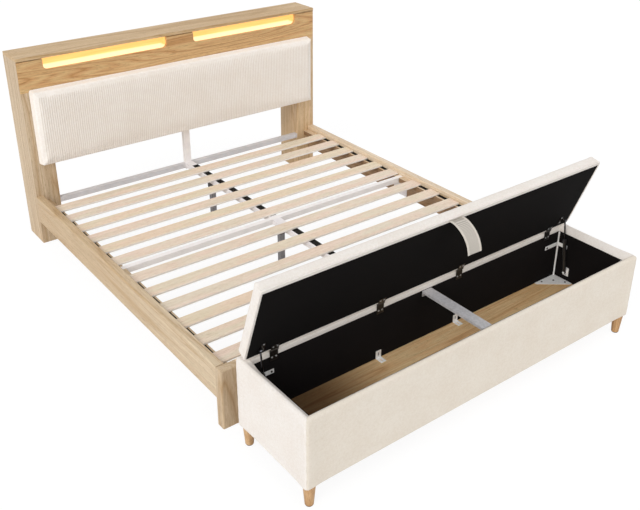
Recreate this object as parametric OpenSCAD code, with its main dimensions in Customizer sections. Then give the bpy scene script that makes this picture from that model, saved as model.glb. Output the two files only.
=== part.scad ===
// King-size bed with a lit headboard, and the padded blanket chest at its foot.
// Millimetres. +X is the sleeper's left seen from the foot, +Y points to the headboard, +Z is up.
// The origin lies on the floor in the middle of the whole set.
// The chest lid is drawn open, as its two struts hold it.

/* [Headboard] */
// Width of the bed over its side boards and rails
bed_w = 2000; // [1850:5:2200]
// Height of the headboard
head_h = 1128; // [1080:1:1300]
// Depth of the headboard box
head_d = 200; // [150:1:260]
// Thickness of the headboard's boards
board_t = 18; // [15:1:22]
// Width of a post's front face
post_w = 138; // [110:1:160]
// How far the top board stands out over the fascia
top_overhang = 4; // [0:0.5:10]
// Height of the fascia that holds the light niches
fascia_h = 180; // [130:1:220]
// Height of the shadow gap between the fascia and the top board
shadow_gap = 5; // [2:0.5:8]
// Height of the open gap under the headboard's box
head_open_h = 500; // [430:1:560]
// Thickness of the back panel
back_t = 9; // [6:0.5:12]

/* [Light niches] */
// Distance of a niche from the middle of the bed
niche_inner_x = 91; // [60:1:160]
// Distance of a niche's outer end from the post's cheek
niche_end = 10; // [9.5:0.5:60]
// Height of a niche under the top board
niche_h = 68; // [60:1:90]
// Radius of a niche's two lower corners
niche_r = 28; // [10:1:34]
// Depth of the tray behind the fascia
tray_d = 62; // [40:1:100]
// Wall of the tray
tray_t = 9; // [5:0.5:9.5]
// Width of the light strip
led_w = 12; // [8:0.5:16]
// Thickness of the light strip
led_t = 6; // [4:0.5:8]
// Distance of the light strip from the fascia and from the niche's ends
led_inset = 14; // [8:1:20]

/* [Head cushion] */
// How far the cushion's ends lie inside the bed's sides
cushion_side = 45; // [10:1:200]
// How far the cushion's upper edge laps over the fascia
cushion_lap = 20; // [0:1:40]
// Height of the cushion's lower edge above the floor
cushion_z = 497; // [460:1:520]
// Thickness of the cushion in its middle
cushion_t = 60; // [45:1:80]
// Rounding of the cushion's front edge
cushion_edge_r = 22; // [12:1:30]
// Rounding of the cushion's four corners, seen from the front
cushion_corner_r = 24; // [10:1:60]
// How much the cushion's front swells towards its middle
cushion_crown = 8; // [2:0.5:12]

/* [Bed frame] */
// Length from the headboard's face to the front of the foot legs
bed_len = 2055; // [2020:1:2200]
// Height of the rails' top edge above the floor
rail_top = 303; // [280:1:340]
// Height of a rail's board
rail_h = 160; // [120:1:200]
// Thickness of the side rails
rail_t = 45; // [30:1:60]
// Thickness of the foot rail and foot legs
foot_t = 45; // [30:1:60]
// Width of a foot leg's front face
foot_leg_w = 90; // [60:1:120]
// Rounding of the rails' upper edges
rail_r = 8; // [3:0.5:12]
// Width of the ledge that carries the slats' ends
ledge_w = 34; // [26:1:60]
// Height of the ledge
ledge_h = 30; // [20:1:45]

/* [Slats] */
// Width of a slat
slat_w = 80; // [60:1:90]
// Thickness of a slat
slat_t = 12; // [8:1:18]
// How far the slats' tops lie below the rails' tops
slat_drop = 20; // [4:1:30]
// Rounding of a slat's long edges
slat_r = 3; // [1:0.5:4.5]
// Gap between a slat's end and the rail
slat_end_gap = 3; // [1:0.5:8]
// Space between the headboard and the first slat of the head half
head_slat_y = 133; // [100:1:170]
// Space between the head half's last slat and the middle cross tube
head_slat_space = 12; // [4:1:60]
// Space between the middle cross tube and the foot half's first slat
foot_slat_space = 88; // [60:1:120]
// Space between the last slat and the foot rail
end_slat_space = 35; // [10:0.5:60]
// Width of the webbing that the slats are fixed to
webbing_w = 25; // [15:1:25]
// Thickness of the webbing
webbing_t = 1; // [0.8:0.1:2]

/* [Metal frame] */
// Side of the square cross tubes
tube_side = 30; // [20:1:36]
// Wall of every tube
tube_wall = 1.5; // [1:0.1:3]
// Place of the middle cross tube's axis, as a share of the bed's length from the headboard
mid_tube_share = 0.4797; // [0.47:0.001:0.51]
// Height of the head cross tube's underside
head_tube_z = 234; // [200:1:245]
// Width of the centre beams
beam_w = 50; // [30:1:60]
// Width of the post under the headboard's middle
centre_post_w = 40; // [30:1:60]
// Height of that post's lower end
centre_post_z = 226; // [150:1:234]
// Side of a centre leg
centre_leg_side = 30; // [20:1:40]
// Places of the three centre legs, as shares of the bed's length from the headboard
centre_leg_shares = [0.14112, 0.50852, 0.85158];
// Height of the sleeve at a centre leg's top
sleeve_h = 40; // [20:1:60]
// Wall of that sleeve
sleeve_wall = 5; // [3:0.5:8]
// Thickness of the rail plates, flanges and bolt heads
plate_t = 3; // [2:0.5:5]
// Length of a rail plate
rail_plate_len = 120; // [80:1:160]
// Height of a rail plate below the ledge
rail_plate_h = 94; // [60:1:100]
// Diameter of the screw and bolt heads
screw_head_d = 9; // [6:0.5:12]

/* [Chest] */
// Width of the chest
chest_w = 1980; // [1800:1:2100]
// Depth of the chest
chest_d = 475; // [440:1:520]
// Space between the foot legs and the chest
chest_gap = 107; // [90:1:300]
// Height of the chest's legs
chest_leg_h = 100; // [60:1:150]
// Height of the chest's walls
chest_h = 338; // [300:1:400]
// Thickness of a padded wall
wall_t = 48; // [42:1:55]
// Rounding of the padded rim
rim_r = 20; // [8:1:20.5]
// Rounding of the walls' lower edges
hem_r = 6; // [2:0.5:10]
// Rounding of the chest's four upright corners
chest_corner_r = 22; // [8:1:40]
// Height of the floor board's underside above the walls' lower edges
floor_lift = 35; // [10:1:50]
// Thickness of the floor board
floor_t = 12; // [9:0.5:18]
// Thickness of the black lining
lining_t = 1; // [0.8:0.1:2]
// Distance from the rim down to the lining's edge
lining_drop = 31; // [22:1:50]
// Diameter of a chest leg at its top
leg_top_d = 52; // [36:1:60]
// Diameter of a chest leg at the floor
leg_foot_d = 36; // [20:1:50]
// Height of the glide under a leg
glide_h = 4; // [2:0.5:8]
// Distance of a leg's axis from the chest's end
leg_inset_x = 33; // [30:1:60]
// Distance of a leg's axis from the chest's front or back
leg_inset_y = 28; // [26:1:60]

/* [Chest fittings] */
// Width of the brace bar across the chest
brace_w = 54; // [30:1:70]
// Position of the brace bar along the chest
brace_x = 3; // [-100:1:100]
// Height of the brace bar's top above the floor board
brace_lift = 258; // [150:1:260]
// Depth of the brace bar's folded flanges
brace_flange = 12; // [6:1:20]
// Depth of the tabs that fix the brace bar to the walls
brace_tab = 30; // [16:1:50]
// Thickness of the sheet steel fittings
sheet_t = 2; // [1.5:0.1:3]
// Length of a corner gusset along the chest
gusset_x = 150; // [80:1:180]
// Length of a corner gusset across the chest
gusset_y = 120; // [70:1:140]
// Width of the upright angle strip in a corner
strip_w = 12; // [8:1:20]
// Height of the corner brace above the floor board
corner_brace_lift = 178; // [120:1:190]
// Height of the corner brace's band
corner_brace_h = 20; // [12:1:30]
// Length of the corner brace along the back wall
corner_brace_x = 100; // [60:1:140]
// Length of the corner brace along the end wall
corner_brace_y = 60; // [40:1:80]
// Width of an angle bracket at the floor
angle_w = 30; // [24:1:40]
// Length of both legs of an angle bracket
angle_len = 40; // [34:1:60]
// Width of the slots in an angle bracket
slot_w = 6; // [4:0.5:8]
// Length of those slots
slot_len = 18; // [12:1:22]

/* [Lid] */
// How far the lid's ends lie inside the chest's ends
lid_side = 2; // [0:0.5:12]
// Distance from the hinge axis to the lid's free edge
lid_len = 424; // [412:1:430]
// Thickness of the lid's pad in its middle
lid_t = 60; // [45:1:80]
// Angle at which the lid stands open, from shut
lid_open = 70; // [60:1:80]
// Rounding of the lid's upper edges
lid_edge_r = 22; // [10:1:30]
// Rounding of the lid's corners, seen from above
lid_corner_r = 20; // [8:1:40]
// How much the lid's pad swells towards its middle
lid_crown = 6; // [2:0.5:12]
// Fabric border beside the lining at the lid's ends
lid_border_x = 14; // [8:1:40]
// Fabric border at the lid's free edge
lid_border_front = 22; // [10:1:40]
// Distance from the hinge axis to the lid's lining
lid_lining_start = 14; // [8:1:20]

/* [Hinges] */
// Distance of the hinge axis from the back wall's inner face
hinge_in = 5; // [5:0.1:6]
// Height of the hinge axis above the rim
hinge_up = 1; // [1:0.1:3]
// Radius of a hinge pin
pin_r = 1.5; // [1:0.1:2]
// Radius of a hinge knuckle
knuckle_r = 4; // [3.5:0.1:4]
// Width of a hinge
leaf_w = 40; // [30:1:60]
// Width of the lid's knuckle in the middle of a hinge
lid_knuckle_w = 15; // [10:1:20]
// Length of the leaf on the back wall
wall_leaf_len = 48; // [36:1:60]
// Length of the leaf on the lid
lid_leaf_len = 28; // [20:1:40]
// Distance of the outer hinges from the chest's inner ends
hinge_end = 103; // [90:1:200]
// Distance of the inner hinge on the left
hinge_left_x = 277; // [200:1:400]
// Distance of the inner hinge on the right
hinge_right_x = 209; // [150:1:400]

/* [Struts] */
// Distance of the struts from the lining of the end walls
strut_in = 16; // [14:0.5:40]
// Distance of the lid's stud from the hinge axis, along the lid
anchor_along = 55; // [48:1:62]
// Distance of the lid's stud below the lid
anchor_down = 14; // [12:1:18]
// Distance of the lower stud from the back wall
foot_in = 75; // [65:1:85]
// Height of the lower stud above the floor board
foot_lift = 53; // [40:1:60]
// Radius of the studs
stud_r = 4; // [3:0.1:5]
// Outer radius of the eye on the lower stud
eye_r = 8; // [7:0.1:9]
// Width of the eye and of the rod's end
eye_w = 10; // [8:0.5:12]
// Outer radius of the cylinder
cylinder_r = 9; // [8:0.1:9.5]
// Inner radius of the cylinder
cylinder_bore_r = 7; // [6.5:0.1:7.2]
// Length of the cylinder from the lower stud to its mouth
cylinder_len = 185; // [175:1:195]
// Length of the guide in the cylinder's mouth
guide_len = 7; // [5:0.5:12]
// Radius of the rod
rod_r = 4; // [3:0.1:5]
// Radius of the rod's end on the lid's stud
rod_end_r = 7; // [6:0.1:9]
// Length of the piston on the rod
piston_len = 10; // [6:1:14]
// Width of the plate that holds the lower stud
foot_plate_w = 32; // [24:1:40]
// Height of that plate
foot_plate_h = 48; // [40:1:60]
// Distance of its two screws from the stud
foot_screw = 17; // [14:1:20]
// Width of the plate on the lid, beside its ear
lid_plate_w = 18; // [16:1:30]
// Length of that plate along the lid
lid_plate_len = 44; // [40:1:54]
// Length of the ear's foot on the plate
ear_foot = 28; // [24:1:36]
// Metal of the ear round the upper stud
ear_rim = 3; // [2:0.5:4]

/* [Pull strap] */
// Width of the strap
strap_w = 65; // [40:1:80]
// Position of the strap along the lid
strap_x = 2; // [-60:1:60]
// Thickness of the strap
strap_t = 3; // [2:0.5:5]
// Distance of the strap's root from the lid's free edge
strap_inset = 16; // [8:1:20]
// How far the strap reaches out from the lid
strap_reach = 122; // [80:1:140]
// How far the strap's end hangs below its root
strap_fall = 108; // [80:1:140]

/* [Fit] */
// Radial clearance of pins, studs, rods and pistons
run_clear = 0.05; // [0.02:0.01:0.09]
// Clearance beside moving eyes and knuckles
side_clear = 0.4; // [0.3:0.1:0.6]
// Clearance of a stud's end from the piece that it drives
end_clear = 0.3; // [0.2:0.1:0.5]
// Clearance round soft pieces
soft_clear = 0.3; // [0.2:0.1:0.5]
// Gap of the ledges and the niche trays to what stands beside them
board_gap = 1; // [0.5:0.1:1]

/* [Hidden] */
$fn = 48;

left = -1;
right = 1;
oak = [0.80, 0.68, 0.52];
slat_wood = [0.86, 0.76, 0.64];
cream = [0.93, 0.90, 0.84];
white_steel = [0.86, 0.85, 0.87];
zinc = [0.72, 0.73, 0.75];
dark_steel = [0.22, 0.22, 0.23];
black_cloth = [0.09, 0.09, 0.09];
black_plastic = [0.13, 0.13, 0.13];
lamp_yellow = [1.00, 0.84, 0.45];

// Headboard: y counts back from its face, heights from the floor
face_y = (bed_len + chest_gap + chest_d - head_d) / 2;
back_y = face_y + head_d;
half_w = bed_w / 2;
top_z = head_h - board_t;
fascia_z = top_z - fascia_h;
cheek_x = half_w - post_w;
niche_w = cheek_x - niche_end - niche_inner_x;
cushion_w = bed_w - 2 * cushion_side;
cushion_h = fascia_z + cushion_lap - cushion_z;
tray_back_y = face_y + board_t + tray_d;

// Bed: what lies towards the foot counts down from the headboard's face
foot_y = face_y - bed_len;
rail_inner_x = half_w - rail_t;
foot_rail_y = foot_y + foot_t;
slat_top = rail_top - slat_drop;
slat_z = slat_top - slat_t;
deck_z = slat_z - webbing_t;
tube_z = deck_z - tube_side;
ledge_z = deck_z - ledge_h;
slat_half = rail_inner_x - slat_end_gap;
mid_tube_y = mid_tube_share * bed_len;
mid_y = face_y - mid_tube_y;
head_slats = 6;
foot_slats = 6;
foot_slat_y = mid_tube_y + tube_side / 2 + foot_slat_space;
last_head_slat_y = mid_tube_y - tube_side / 2 - head_slat_space - slat_w;
last_foot_slat_y = bed_len - foot_t - end_slat_space - slat_w;
head_slat_pitch = (last_head_slat_y - head_slat_y) / (head_slats - 1);
foot_slat_pitch = (last_foot_slat_y - foot_slat_y) / (foot_slats - 1);
sleeve_side = centre_leg_side + 2 * sleeve_wall;

// Chest
chest_back_y = foot_y - chest_gap;
chest_front_y = chest_back_y - chest_d;
chest_mid_y = (chest_back_y + chest_front_y) / 2;
rim_z = chest_leg_h + chest_h;
cavity_x = chest_w / 2 - wall_t;
cavity_back = chest_back_y - wall_t;
cavity_front = chest_front_y + wall_t;
floor_z = chest_leg_h + floor_lift + floor_t;
lined_x = cavity_x - lining_t;
lined_back = cavity_back - lining_t;
lined_front = cavity_front + lining_t;

// Lid and hinges: inside lid_frame() the lid lies shut, with the hinge axis at the origin
axis_y = cavity_back - hinge_in;
axis_z = rim_z + hinge_up;
lid_pad_start = knuckle_r + 2;
leaf_start = knuckle_r + 1;
hinge_outer_x = cavity_x - hinge_end;
hinge_xs = [-hinge_outer_x, -hinge_left_x, hinge_right_x, hinge_outer_x];
lid_w = chest_w - 2 * lid_side;
wall_knuckle_w = (leaf_w - lid_knuckle_w) / 2 - side_clear;

// A point of the open lid in y and z, so far along it from the axis and so far below the axis
function lid_point(along, below) =
    [axis_y - along * cos(lid_open) - below * sin(lid_open),
     axis_z + along * sin(lid_open) - below * cos(lid_open)];

// Struts: the lid's stud where it is now, and where it is with the lid shut
strut_x = lined_x - strut_in;
foot_stud = [cavity_back - foot_in, floor_z + foot_lift];
open_stud = lid_point(anchor_along, anchor_down);
shut_stud = [axis_y - anchor_along, axis_z - anchor_down];
open_reach = norm(open_stud - foot_stud);
shut_reach = norm(shut_stud - foot_stud);
stroke = open_reach - shut_reach;
strut_lean = atan2(open_stud[1] - foot_stud[1], open_stud[0] - foot_stud[0]);
piston_at = cylinder_len - guide_len - piston_len - 4;
echo(strut_open = open_reach, strut_shut = shut_reach, stroke = stroke, lean = strut_lean);

// A block from its lowest corner to its highest
module block(low, high) {
    translate(low)
        cube(high - low);
}

// What is drawn for the right side, put on the side that is asked for
module on_side(side) {
    scale_x = side == left ? 1 : 0;
    mirror([scale_x, 0, 0])
        children();
}

// The same piece on both sides of the middle
module both_sides() {
    for (side = [left, right])
        on_side(side) children();
}

// A profile drawn in y and z, drawn out along x
module along_x(length) {
    rotate([90, 0, 90])
        linear_extrude(length) children();
}

// A profile drawn in x and z, drawn out towards the foot
module to_foot(length) {
    rotate([90, 0, 0])
        linear_extrude(length) children();
}

// A round bar along x, from x = 0
module bar_x(radius, length) {
    rotate([0, 90, 0])
        cylinder(h = length, r = radius);
}

// A rectangle whose lower and upper corners are rounded by their own radii
module eased(width, height, low_r, top_r) {
    translate([0, low_r])
        square([width, height - low_r - top_r]);
    translate([low_r, 0])
        square([width - 2 * low_r, low_r + top_r]);
    translate([top_r, height - top_r - low_r])
        square([width - 2 * top_r, top_r + low_r]);
    for (x = [low_r, width - low_r])
        translate([x, low_r]) circle(low_r);
    for (x = [top_r, width - top_r])
        translate([x, height - top_r]) circle(top_r);
}

// A square tube from its lowest corner, open at both ends
module tube_x(low, length, width, height) {
    translate(low)
        along_x(length)
            difference() {
                square([width, height]);
                translate([tube_wall, tube_wall])
                    square([width - 2 * tube_wall, height - 2 * tube_wall]);
            }
}

module tube_to_foot(from, length, width, height) {
    translate(from)
        to_foot(length)
            difference() {
                square([width, height]);
                translate([tube_wall, tube_wall])
                    square([width - 2 * tube_wall, height - 2 * tube_wall]);
            }
}

// Outline of a pillow at a given distance in from its edge
corner_steps = 5;
function pillow_ring(width, depth, corner_r, inset, height) =
    let (r = max(corner_r - inset, 1), hx = width / 2 - inset - r, hy = depth / 2 - inset - r)
    [for (quarter = [0:3], step = [0:corner_steps])
        let (turn = 90 * quarter + 90 * step / corner_steps,
             sx = quarter == 0 || quarter == 3 ? 1 : -1,
             sy = quarter < 2 ? 1 : -1)
        [sx * hx + r * cos(turn), sy * hy + r * sin(turn), height]];

// Drawn-in foot, full side, rolled edge and a crown, as [distance in, height]
function pillow_profile(depth, thick, edge_r, crown, tuck) =
    let (middle = depth / 2 - edge_r - 2)
    concat([[tuck, 0], [tuck * 0.35, (thick - crown - edge_r) * 0.4]],
           [for (turn = [0:15:90])
               [edge_r * (1 - cos(turn)), thick - crown - edge_r * (1 - sin(turn))]],
           [for (part = [0.15, 0.35, 0.6, 1])
               [edge_r + part * middle, thick - crown * pow(1 - part, 2)]]);

// An upholstered pad that lies on z = 0
module pillow(width, depth, thick, edge_r, corner_r, crown, tuck) {
    profile = pillow_profile(depth, thick, edge_r, crown, tuck);
    rings = len(profile);
    around = 4 * (corner_steps + 1);
    points = concat([for (p = profile) each pillow_ring(width, depth, corner_r, p[0], p[1])],
                    [[0, 0, 0], [0, 0, thick]]);
    under = rings * around;
    sides = [for (ring = [0:rings - 2], i = [0:around - 1])
                let (a = ring * around + i, b = ring * around + (i + 1) % around)
                each [[a, a + around, b], [b, a + around, b + around]]];
    ends = [for (i = [0:around - 1])
               let (j = (i + 1) % around, last = (rings - 1) * around)
               each [[under, i, j], [under + 1, last + j, last + i]]];
    polyhedron(points, concat(sides, ends));
}

// ---- Headboard ----

// Side board, mitred to the boards of the front
module head_side(side) {
    color(oak)
        on_side(side)
            linear_extrude(top_z)
                polygon([[half_w, face_y], [half_w, back_y],
                         [half_w - board_t, back_y], [half_w - board_t, face_y + board_t]]);
}

// Front board and inner cheek of a post; the cheek is rebated for the back panel
module post(side) {
    color(oak)
        on_side(side) {
            linear_extrude(fascia_z)
                polygon([[cheek_x, face_y], [half_w, face_y],
                         [half_w - board_t, face_y + board_t], [cheek_x, face_y + board_t]]);
            block([cheek_x, face_y + board_t, 0], [cheek_x + board_t, back_y - back_t, top_z]);
            block([cheek_x, face_y + board_t / 2, 0], [cheek_x + board_t, back_y, head_open_h]);
        }
}

module top_board() {
    color(oak)
        block([-half_w, face_y - top_overhang, top_z], [half_w, back_y, head_h]);
}

// Front outline of a niche, grown on its three walled sides
module niche_outline(grow) {
    r = niche_r + grow;
    low_x = niche_inner_x - grow;
    high_x = niche_inner_x + niche_w + grow;
    low_z = top_z - niche_h - grow;
    translate([low_x, low_z + r])
        square([high_x - low_x, top_z - low_z - r]);
    translate([low_x + r, low_z])
        square([high_x - low_x - 2 * r, 2 * r]);
    for (x = [low_x + r, high_x - r])
        translate([x, low_z + r]) circle(r);
}

module fascia() {
    color(oak)
        difference() {
            translate([0, 0, fascia_z])
                linear_extrude(fascia_h - shadow_gap)
                    polygon([[-half_w, face_y], [half_w, face_y],
                             [half_w - board_t, face_y + board_t],
                             [board_t - half_w, face_y + board_t]]);
            both_sides()
                translate([0, face_y + board_t + 1, 0])
                    to_foot(board_t + 2) {
                        niche_outline(0);
                        translate([niche_inner_x, top_z - 1])
                            square([niche_w, 2]);
                    }
        }
}

// U-shaped liner with a back, glued behind the fascia
module niche_tray(side) {
    color(lamp_yellow)
        on_side(side)
            difference() {
                translate([0, tray_back_y, 0])
                    to_foot(tray_d)
                        niche_outline(tray_t - board_gap);
                translate([0, tray_back_y - tray_t, 0])
                    to_foot(tray_d)
                        niche_outline(0);
                translate([niche_inner_x, tray_back_y - tray_t - tray_d, top_z - 1])
                    cube([niche_w, tray_d, 2]);
            }
}

module led_strips() {
    color("white")
        both_sides()
            translate([niche_inner_x + led_inset, face_y + board_t + led_inset, top_z - led_t])
                cube([niche_w - 2 * led_inset, led_w, led_t]);
}

module back_panel() {
    color(oak)
        block([board_t - half_w, back_y - back_t, head_open_h],
              [half_w - board_t, back_y, top_z]);
}

module base_board() {
    color(oak)
        block([-cheek_x, face_y + board_t, head_open_h],
              [cheek_x, back_y - back_t, head_open_h + board_t]);
}

module cushion_board() {
    color(oak)
        block([-cheek_x, face_y, head_open_h], [cheek_x, face_y + board_t, fascia_z]);
}

module head_cushion() {
    color(cream)
        translate([0, face_y - soft_clear, cushion_z + cushion_h / 2])
            rotate([90, 0, 0])
                pillow(cushion_w, cushion_h, cushion_t - soft_clear,
                       cushion_edge_r, cushion_corner_r, cushion_crown, 5);
}

// Square post between the headboard's box and the cross tube, with a flange on top
module centre_post() {
    color(white_steel) {
        difference() {
            block([-centre_post_w / 2, face_y, centre_post_z],
                  [centre_post_w / 2, face_y + tube_side, head_open_h]);
            block([tube_wall - centre_post_w / 2, face_y + tube_wall, centre_post_z - 1],
                  [centre_post_w / 2 - tube_wall, face_y + tube_side - tube_wall,
                   head_open_h - plate_t]);
        }
        block([-centre_post_w, face_y, head_open_h - plate_t],
              [centre_post_w, face_y + tube_side, head_open_h]);
    }
}

// ---- Bed frame ----

module rail(side) {
    color(oak)
        on_side(side)
            translate([rail_inner_x, face_y, rail_top - rail_h])
                to_foot(bed_len - foot_t)
                    eased(rail_t, rail_h, 1, rail_r);
}

module foot_rail() {
    color(oak)
        translate([foot_leg_w - half_w, foot_y, rail_top - rail_h])
            along_x(bed_w - 2 * foot_leg_w)
                eased(foot_t, rail_h, 1, rail_r);
}

// Foot leg: its plan, its front and its side are all eased, and the three are cut together
module foot_leg(side) {
    color(oak)
        on_side(side)
            intersection() {
                translate([half_w - foot_leg_w, foot_y, 0])
                    linear_extrude(rail_top)
                        union() {
                            square([foot_leg_w - rail_r, foot_t]);
                            translate([0, rail_r])
                                square([foot_leg_w, foot_t - rail_r]);
                            translate([foot_leg_w - rail_r, rail_r])
                                circle(rail_r);
                        }
                translate([half_w - foot_leg_w, foot_y, 0])
                    along_x(foot_leg_w)
                        eased(foot_t, rail_top, 1, rail_r);
                translate([half_w - foot_leg_w - rail_r, foot_rail_y, 0])
                    to_foot(foot_t)
                        eased(foot_leg_w + rail_r, rail_top, 1, rail_r);
            }
}

// Ledge on a rail's inner face, in two lengths that leave room for the middle cross tube
module ledge(side) {
    color(oak)
        on_side(side) {
            block([rail_inner_x - ledge_w, mid_y + tube_side / 2 + board_gap, ledge_z],
                  [rail_inner_x, face_y, deck_z]);
            block([rail_inner_x - ledge_w, foot_rail_y, ledge_z],
                  [rail_inner_x, mid_y - tube_side / 2 - board_gap, deck_z]);
        }
}

// Distance of a slat's far edge from the headboard
function slat_distance(number) =
    number <= head_slats
    ? head_slat_y + (number - 1) * head_slat_pitch
    : foot_slat_y + (number - head_slats - 1) * foot_slat_pitch;

module slat(number) {
    color(slat_wood)
        translate([-slat_half, face_y - slat_distance(number) - slat_w, slat_z])
            along_x(2 * slat_half)
                eased(slat_w, slat_t, slat_r, slat_r);
}

// Three straps under each half of the slats
module webbing() {
    color(black_cloth)
        for (half = [[1, head_slats], [head_slats + 1, head_slats + foot_slats]],
             x = [-rail_inner_x + ledge_w / 2, 0, rail_inner_x - ledge_w / 2])
            block([x - webbing_w / 2, face_y - slat_distance(half[1]) - slat_w, deck_z],
                  [x + webbing_w / 2, face_y - slat_distance(half[0]), slat_z]);
}

// Two tubes between the posts and the centre post, each with a bolt head on its face
module head_cross_tube() {
    color(white_steel)
        both_sides() {
            tube_x([centre_post_w / 2, face_y, head_tube_z], cheek_x - centre_post_w / 2,
                   tube_side, tube_side);
            for (x = [beam_w / 2 + screw_head_d, cheek_x - 2 * screw_head_d])
                translate([x, face_y + tube_wall / 2, head_tube_z + tube_side / 2])
                    rotate([90, 0, 0])
                        cylinder(h = tube_wall / 2 + plate_t, d = screw_head_d);
        }
}

module mid_cross_tube() {
    color(white_steel)
        tube_x([plate_t - rail_inner_x, mid_y - tube_side / 2, tube_z],
               2 * (rail_inner_x - plate_t), tube_side, tube_side);
}

module beam_head() {
    color(white_steel)
        tube_to_foot([-beam_w / 2, face_y, tube_z], mid_tube_y - tube_side / 2,
                     beam_w, tube_side);
}

module beam_foot() {
    color(white_steel)
        tube_to_foot([-beam_w / 2, mid_y - tube_side / 2, tube_z],
                     mid_y - tube_side / 2 - foot_rail_y, beam_w, tube_side);
}

// Legs under the beams, each in a sleeve under the tube
module centre_legs() {
    color(dark_steel)
        for (share = centre_leg_shares)
            translate([0, face_y - share * bed_len, 0]) {
                translate([-centre_leg_side / 2, -centre_leg_side / 2, glide_h])
                    cube([centre_leg_side, centre_leg_side, tube_z - glide_h]);
                translate([-sleeve_side / 2, -sleeve_side / 2, tube_z - sleeve_h])
                    cube([sleeve_side, sleeve_side, sleeve_h]);
                cylinder(h = 1.5 * glide_h, r = centre_leg_side / 2 - glide_h / 2);
            }
}

// Plate at each end of the middle cross tube, screwed to the rail under the ledge
module rail_plates() {
    plate_x = rail_inner_x - plate_t;
    color(white_steel)
        both_sides() {
            block([plate_x, mid_y - rail_plate_len / 2, ledge_z - rail_plate_h],
                  [rail_inner_x, mid_y + rail_plate_len / 2, ledge_z]);
            block([plate_x, mid_y - tube_side / 2, ledge_z - 1],
                  [rail_inner_x, mid_y + tube_side / 2, deck_z]);
            for (y = [-1, 1], z = [0.3, 0.7])
                translate([plate_x - plate_t, mid_y + y * rail_plate_len / 3,
                           ledge_z - z * rail_plate_h])
                    bar_x(screw_head_d / 2, 1.5 * plate_t);
        }
}

// ---- Chest ----

// Plan of a wall: outer face on y = 0, mitred ends, rounded outer corners
module wall_plan(length) {
    intersection() {
        polygon([[-length / 2, 0], [length / 2, 0],
                 [length / 2 - wall_t, -wall_t], [wall_t - length / 2, -wall_t]]);
        union() {
            translate([chest_corner_r - length / 2, -wall_t])
                square([length - 2 * chest_corner_r, wall_t]);
            translate([-length / 2, -wall_t])
                square([length, wall_t - chest_corner_r]);
            for (end = [-1, 1])
                translate([end * (length / 2 - chest_corner_r), -chest_corner_r])
                    circle(chest_corner_r);
        }
    }
}

// Board wrapped in foam and cloth, with a rolled rim
module padded_wall(length) {
    color(cream)
        intersection() {
            translate([0, 0, chest_leg_h])
                linear_extrude(chest_h) wall_plan(length);
            translate([-length / 2, -wall_t, chest_leg_h])
                along_x(length) eased(wall_t, chest_h, hem_r, rim_r);
        }
}

module chest_rear() {
    translate([0, chest_back_y, 0])
        padded_wall(chest_w);
}

module chest_front() {
    translate([0, chest_front_y, 0])
        rotate([0, 0, 180])
            padded_wall(chest_w);
}

module chest_end(side) {
    on_side(side)
        translate([chest_w / 2, chest_mid_y, 0])
            rotate([0, 0, -90])
                padded_wall(chest_d);
}

// Black cloth on the four inner faces
module chest_lining() {
    color(black_cloth)
        difference() {
            block([-cavity_x, cavity_front, floor_z], [cavity_x, cavity_back, rim_z - lining_drop]);
            block([-lined_x, lined_front, floor_z - 1], [lined_x, lined_back, rim_z]);
        }
}

module chest_floor() {
    color(oak)
        block([-cavity_x, cavity_front, floor_z - floor_t], [cavity_x, cavity_back, floor_z]);
}

// Channel across the chest with a tab down each wall
module brace_bar() {
    top = floor_z + brace_lift;
    low_x = brace_x - brace_w / 2;
    high_x = brace_x + brace_w / 2;
    color(zinc) {
        block([low_x, lined_front, top - sheet_t], [high_x, lined_back, top]);
        for (x = [low_x, high_x - sheet_t])
            block([x, lined_front, top - brace_flange], [x + sheet_t, lined_back, top]);
        for (y = [lined_front, lined_back - sheet_t])
            block([low_x, y, top - brace_tab], [high_x, y + sheet_t, top]);
        for (x = [-1, 1], wall = [lined_front + 2 * sheet_t, lined_back - sheet_t / 2])
            translate([brace_x + x * brace_w / 4, wall, top - (brace_flange + brace_tab) / 2])
                rotate([90, 0, 0])
                    cylinder(h = 1.5 * sheet_t, d = screw_head_d);
    }
}

// Gusset, upright angle strip and brace in one corner, drawn for the right end at the back
module corner_fitting() {
    translate([lined_x, lined_back, floor_z])
        linear_extrude(sheet_t)
            polygon([[0, 0], [-gusset_x, 0], [-gusset_x, -strip_w],
                     [-strip_w, -gusset_y], [0, -gusset_y]]);
    for (spot = [[0.75, 0.12], [0.12, 0.75], [0.35, 0.35]])
        translate([lined_x - spot[0] * gusset_x, lined_back - spot[1] * gusset_y, floor_z])
            cylinder(h = 2 * sheet_t, d = screw_head_d);
    translate([lined_x, lined_back, floor_z])
        linear_extrude(brace_lift)
            polygon([[0, 0], [-strip_w, 0], [-strip_w, -sheet_t], [-sheet_t, -sheet_t],
                     [-sheet_t, -strip_w], [0, -strip_w]]);
    translate([lined_x, lined_back, floor_z + corner_brace_lift])
        linear_extrude(corner_brace_h)
            polygon([[0, 0], [-corner_brace_x, 0], [-corner_brace_x, -sheet_t],
                     [-sheet_t, -sheet_t], [-sheet_t, -corner_brace_y], [0, -corner_brace_y]]);
}

// A slot along y, centred on the origin, to be cut through a sheet
module slot_cut() {
    translate([0, 0, -1])
        linear_extrude(sheet_t + 2)
            union() {
                square([slot_w, slot_len - slot_w], center = true);
                for (y = [-1, 1])
                    translate([0, y * (slot_len - slot_w) / 2]) circle(slot_w / 2);
            }
}

// One slotted leg of an angle bracket, in the plane z = 0
module slotted_leg() {
    difference() {
        translate([-angle_w / 2, 0, 0])
            cube([angle_w, angle_len, sheet_t]);
        translate([0, (angle_len + sheet_t) / 2, 0])
            slot_cut();
    }
}

// Bracket between the floor board and the back wall
module angle_bracket() {
    translate([0, lined_back, floor_z]) {
        rotate([0, 0, 180]) slotted_leg();
        rotate([90, 0, 0]) slotted_leg();
    }
}

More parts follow.
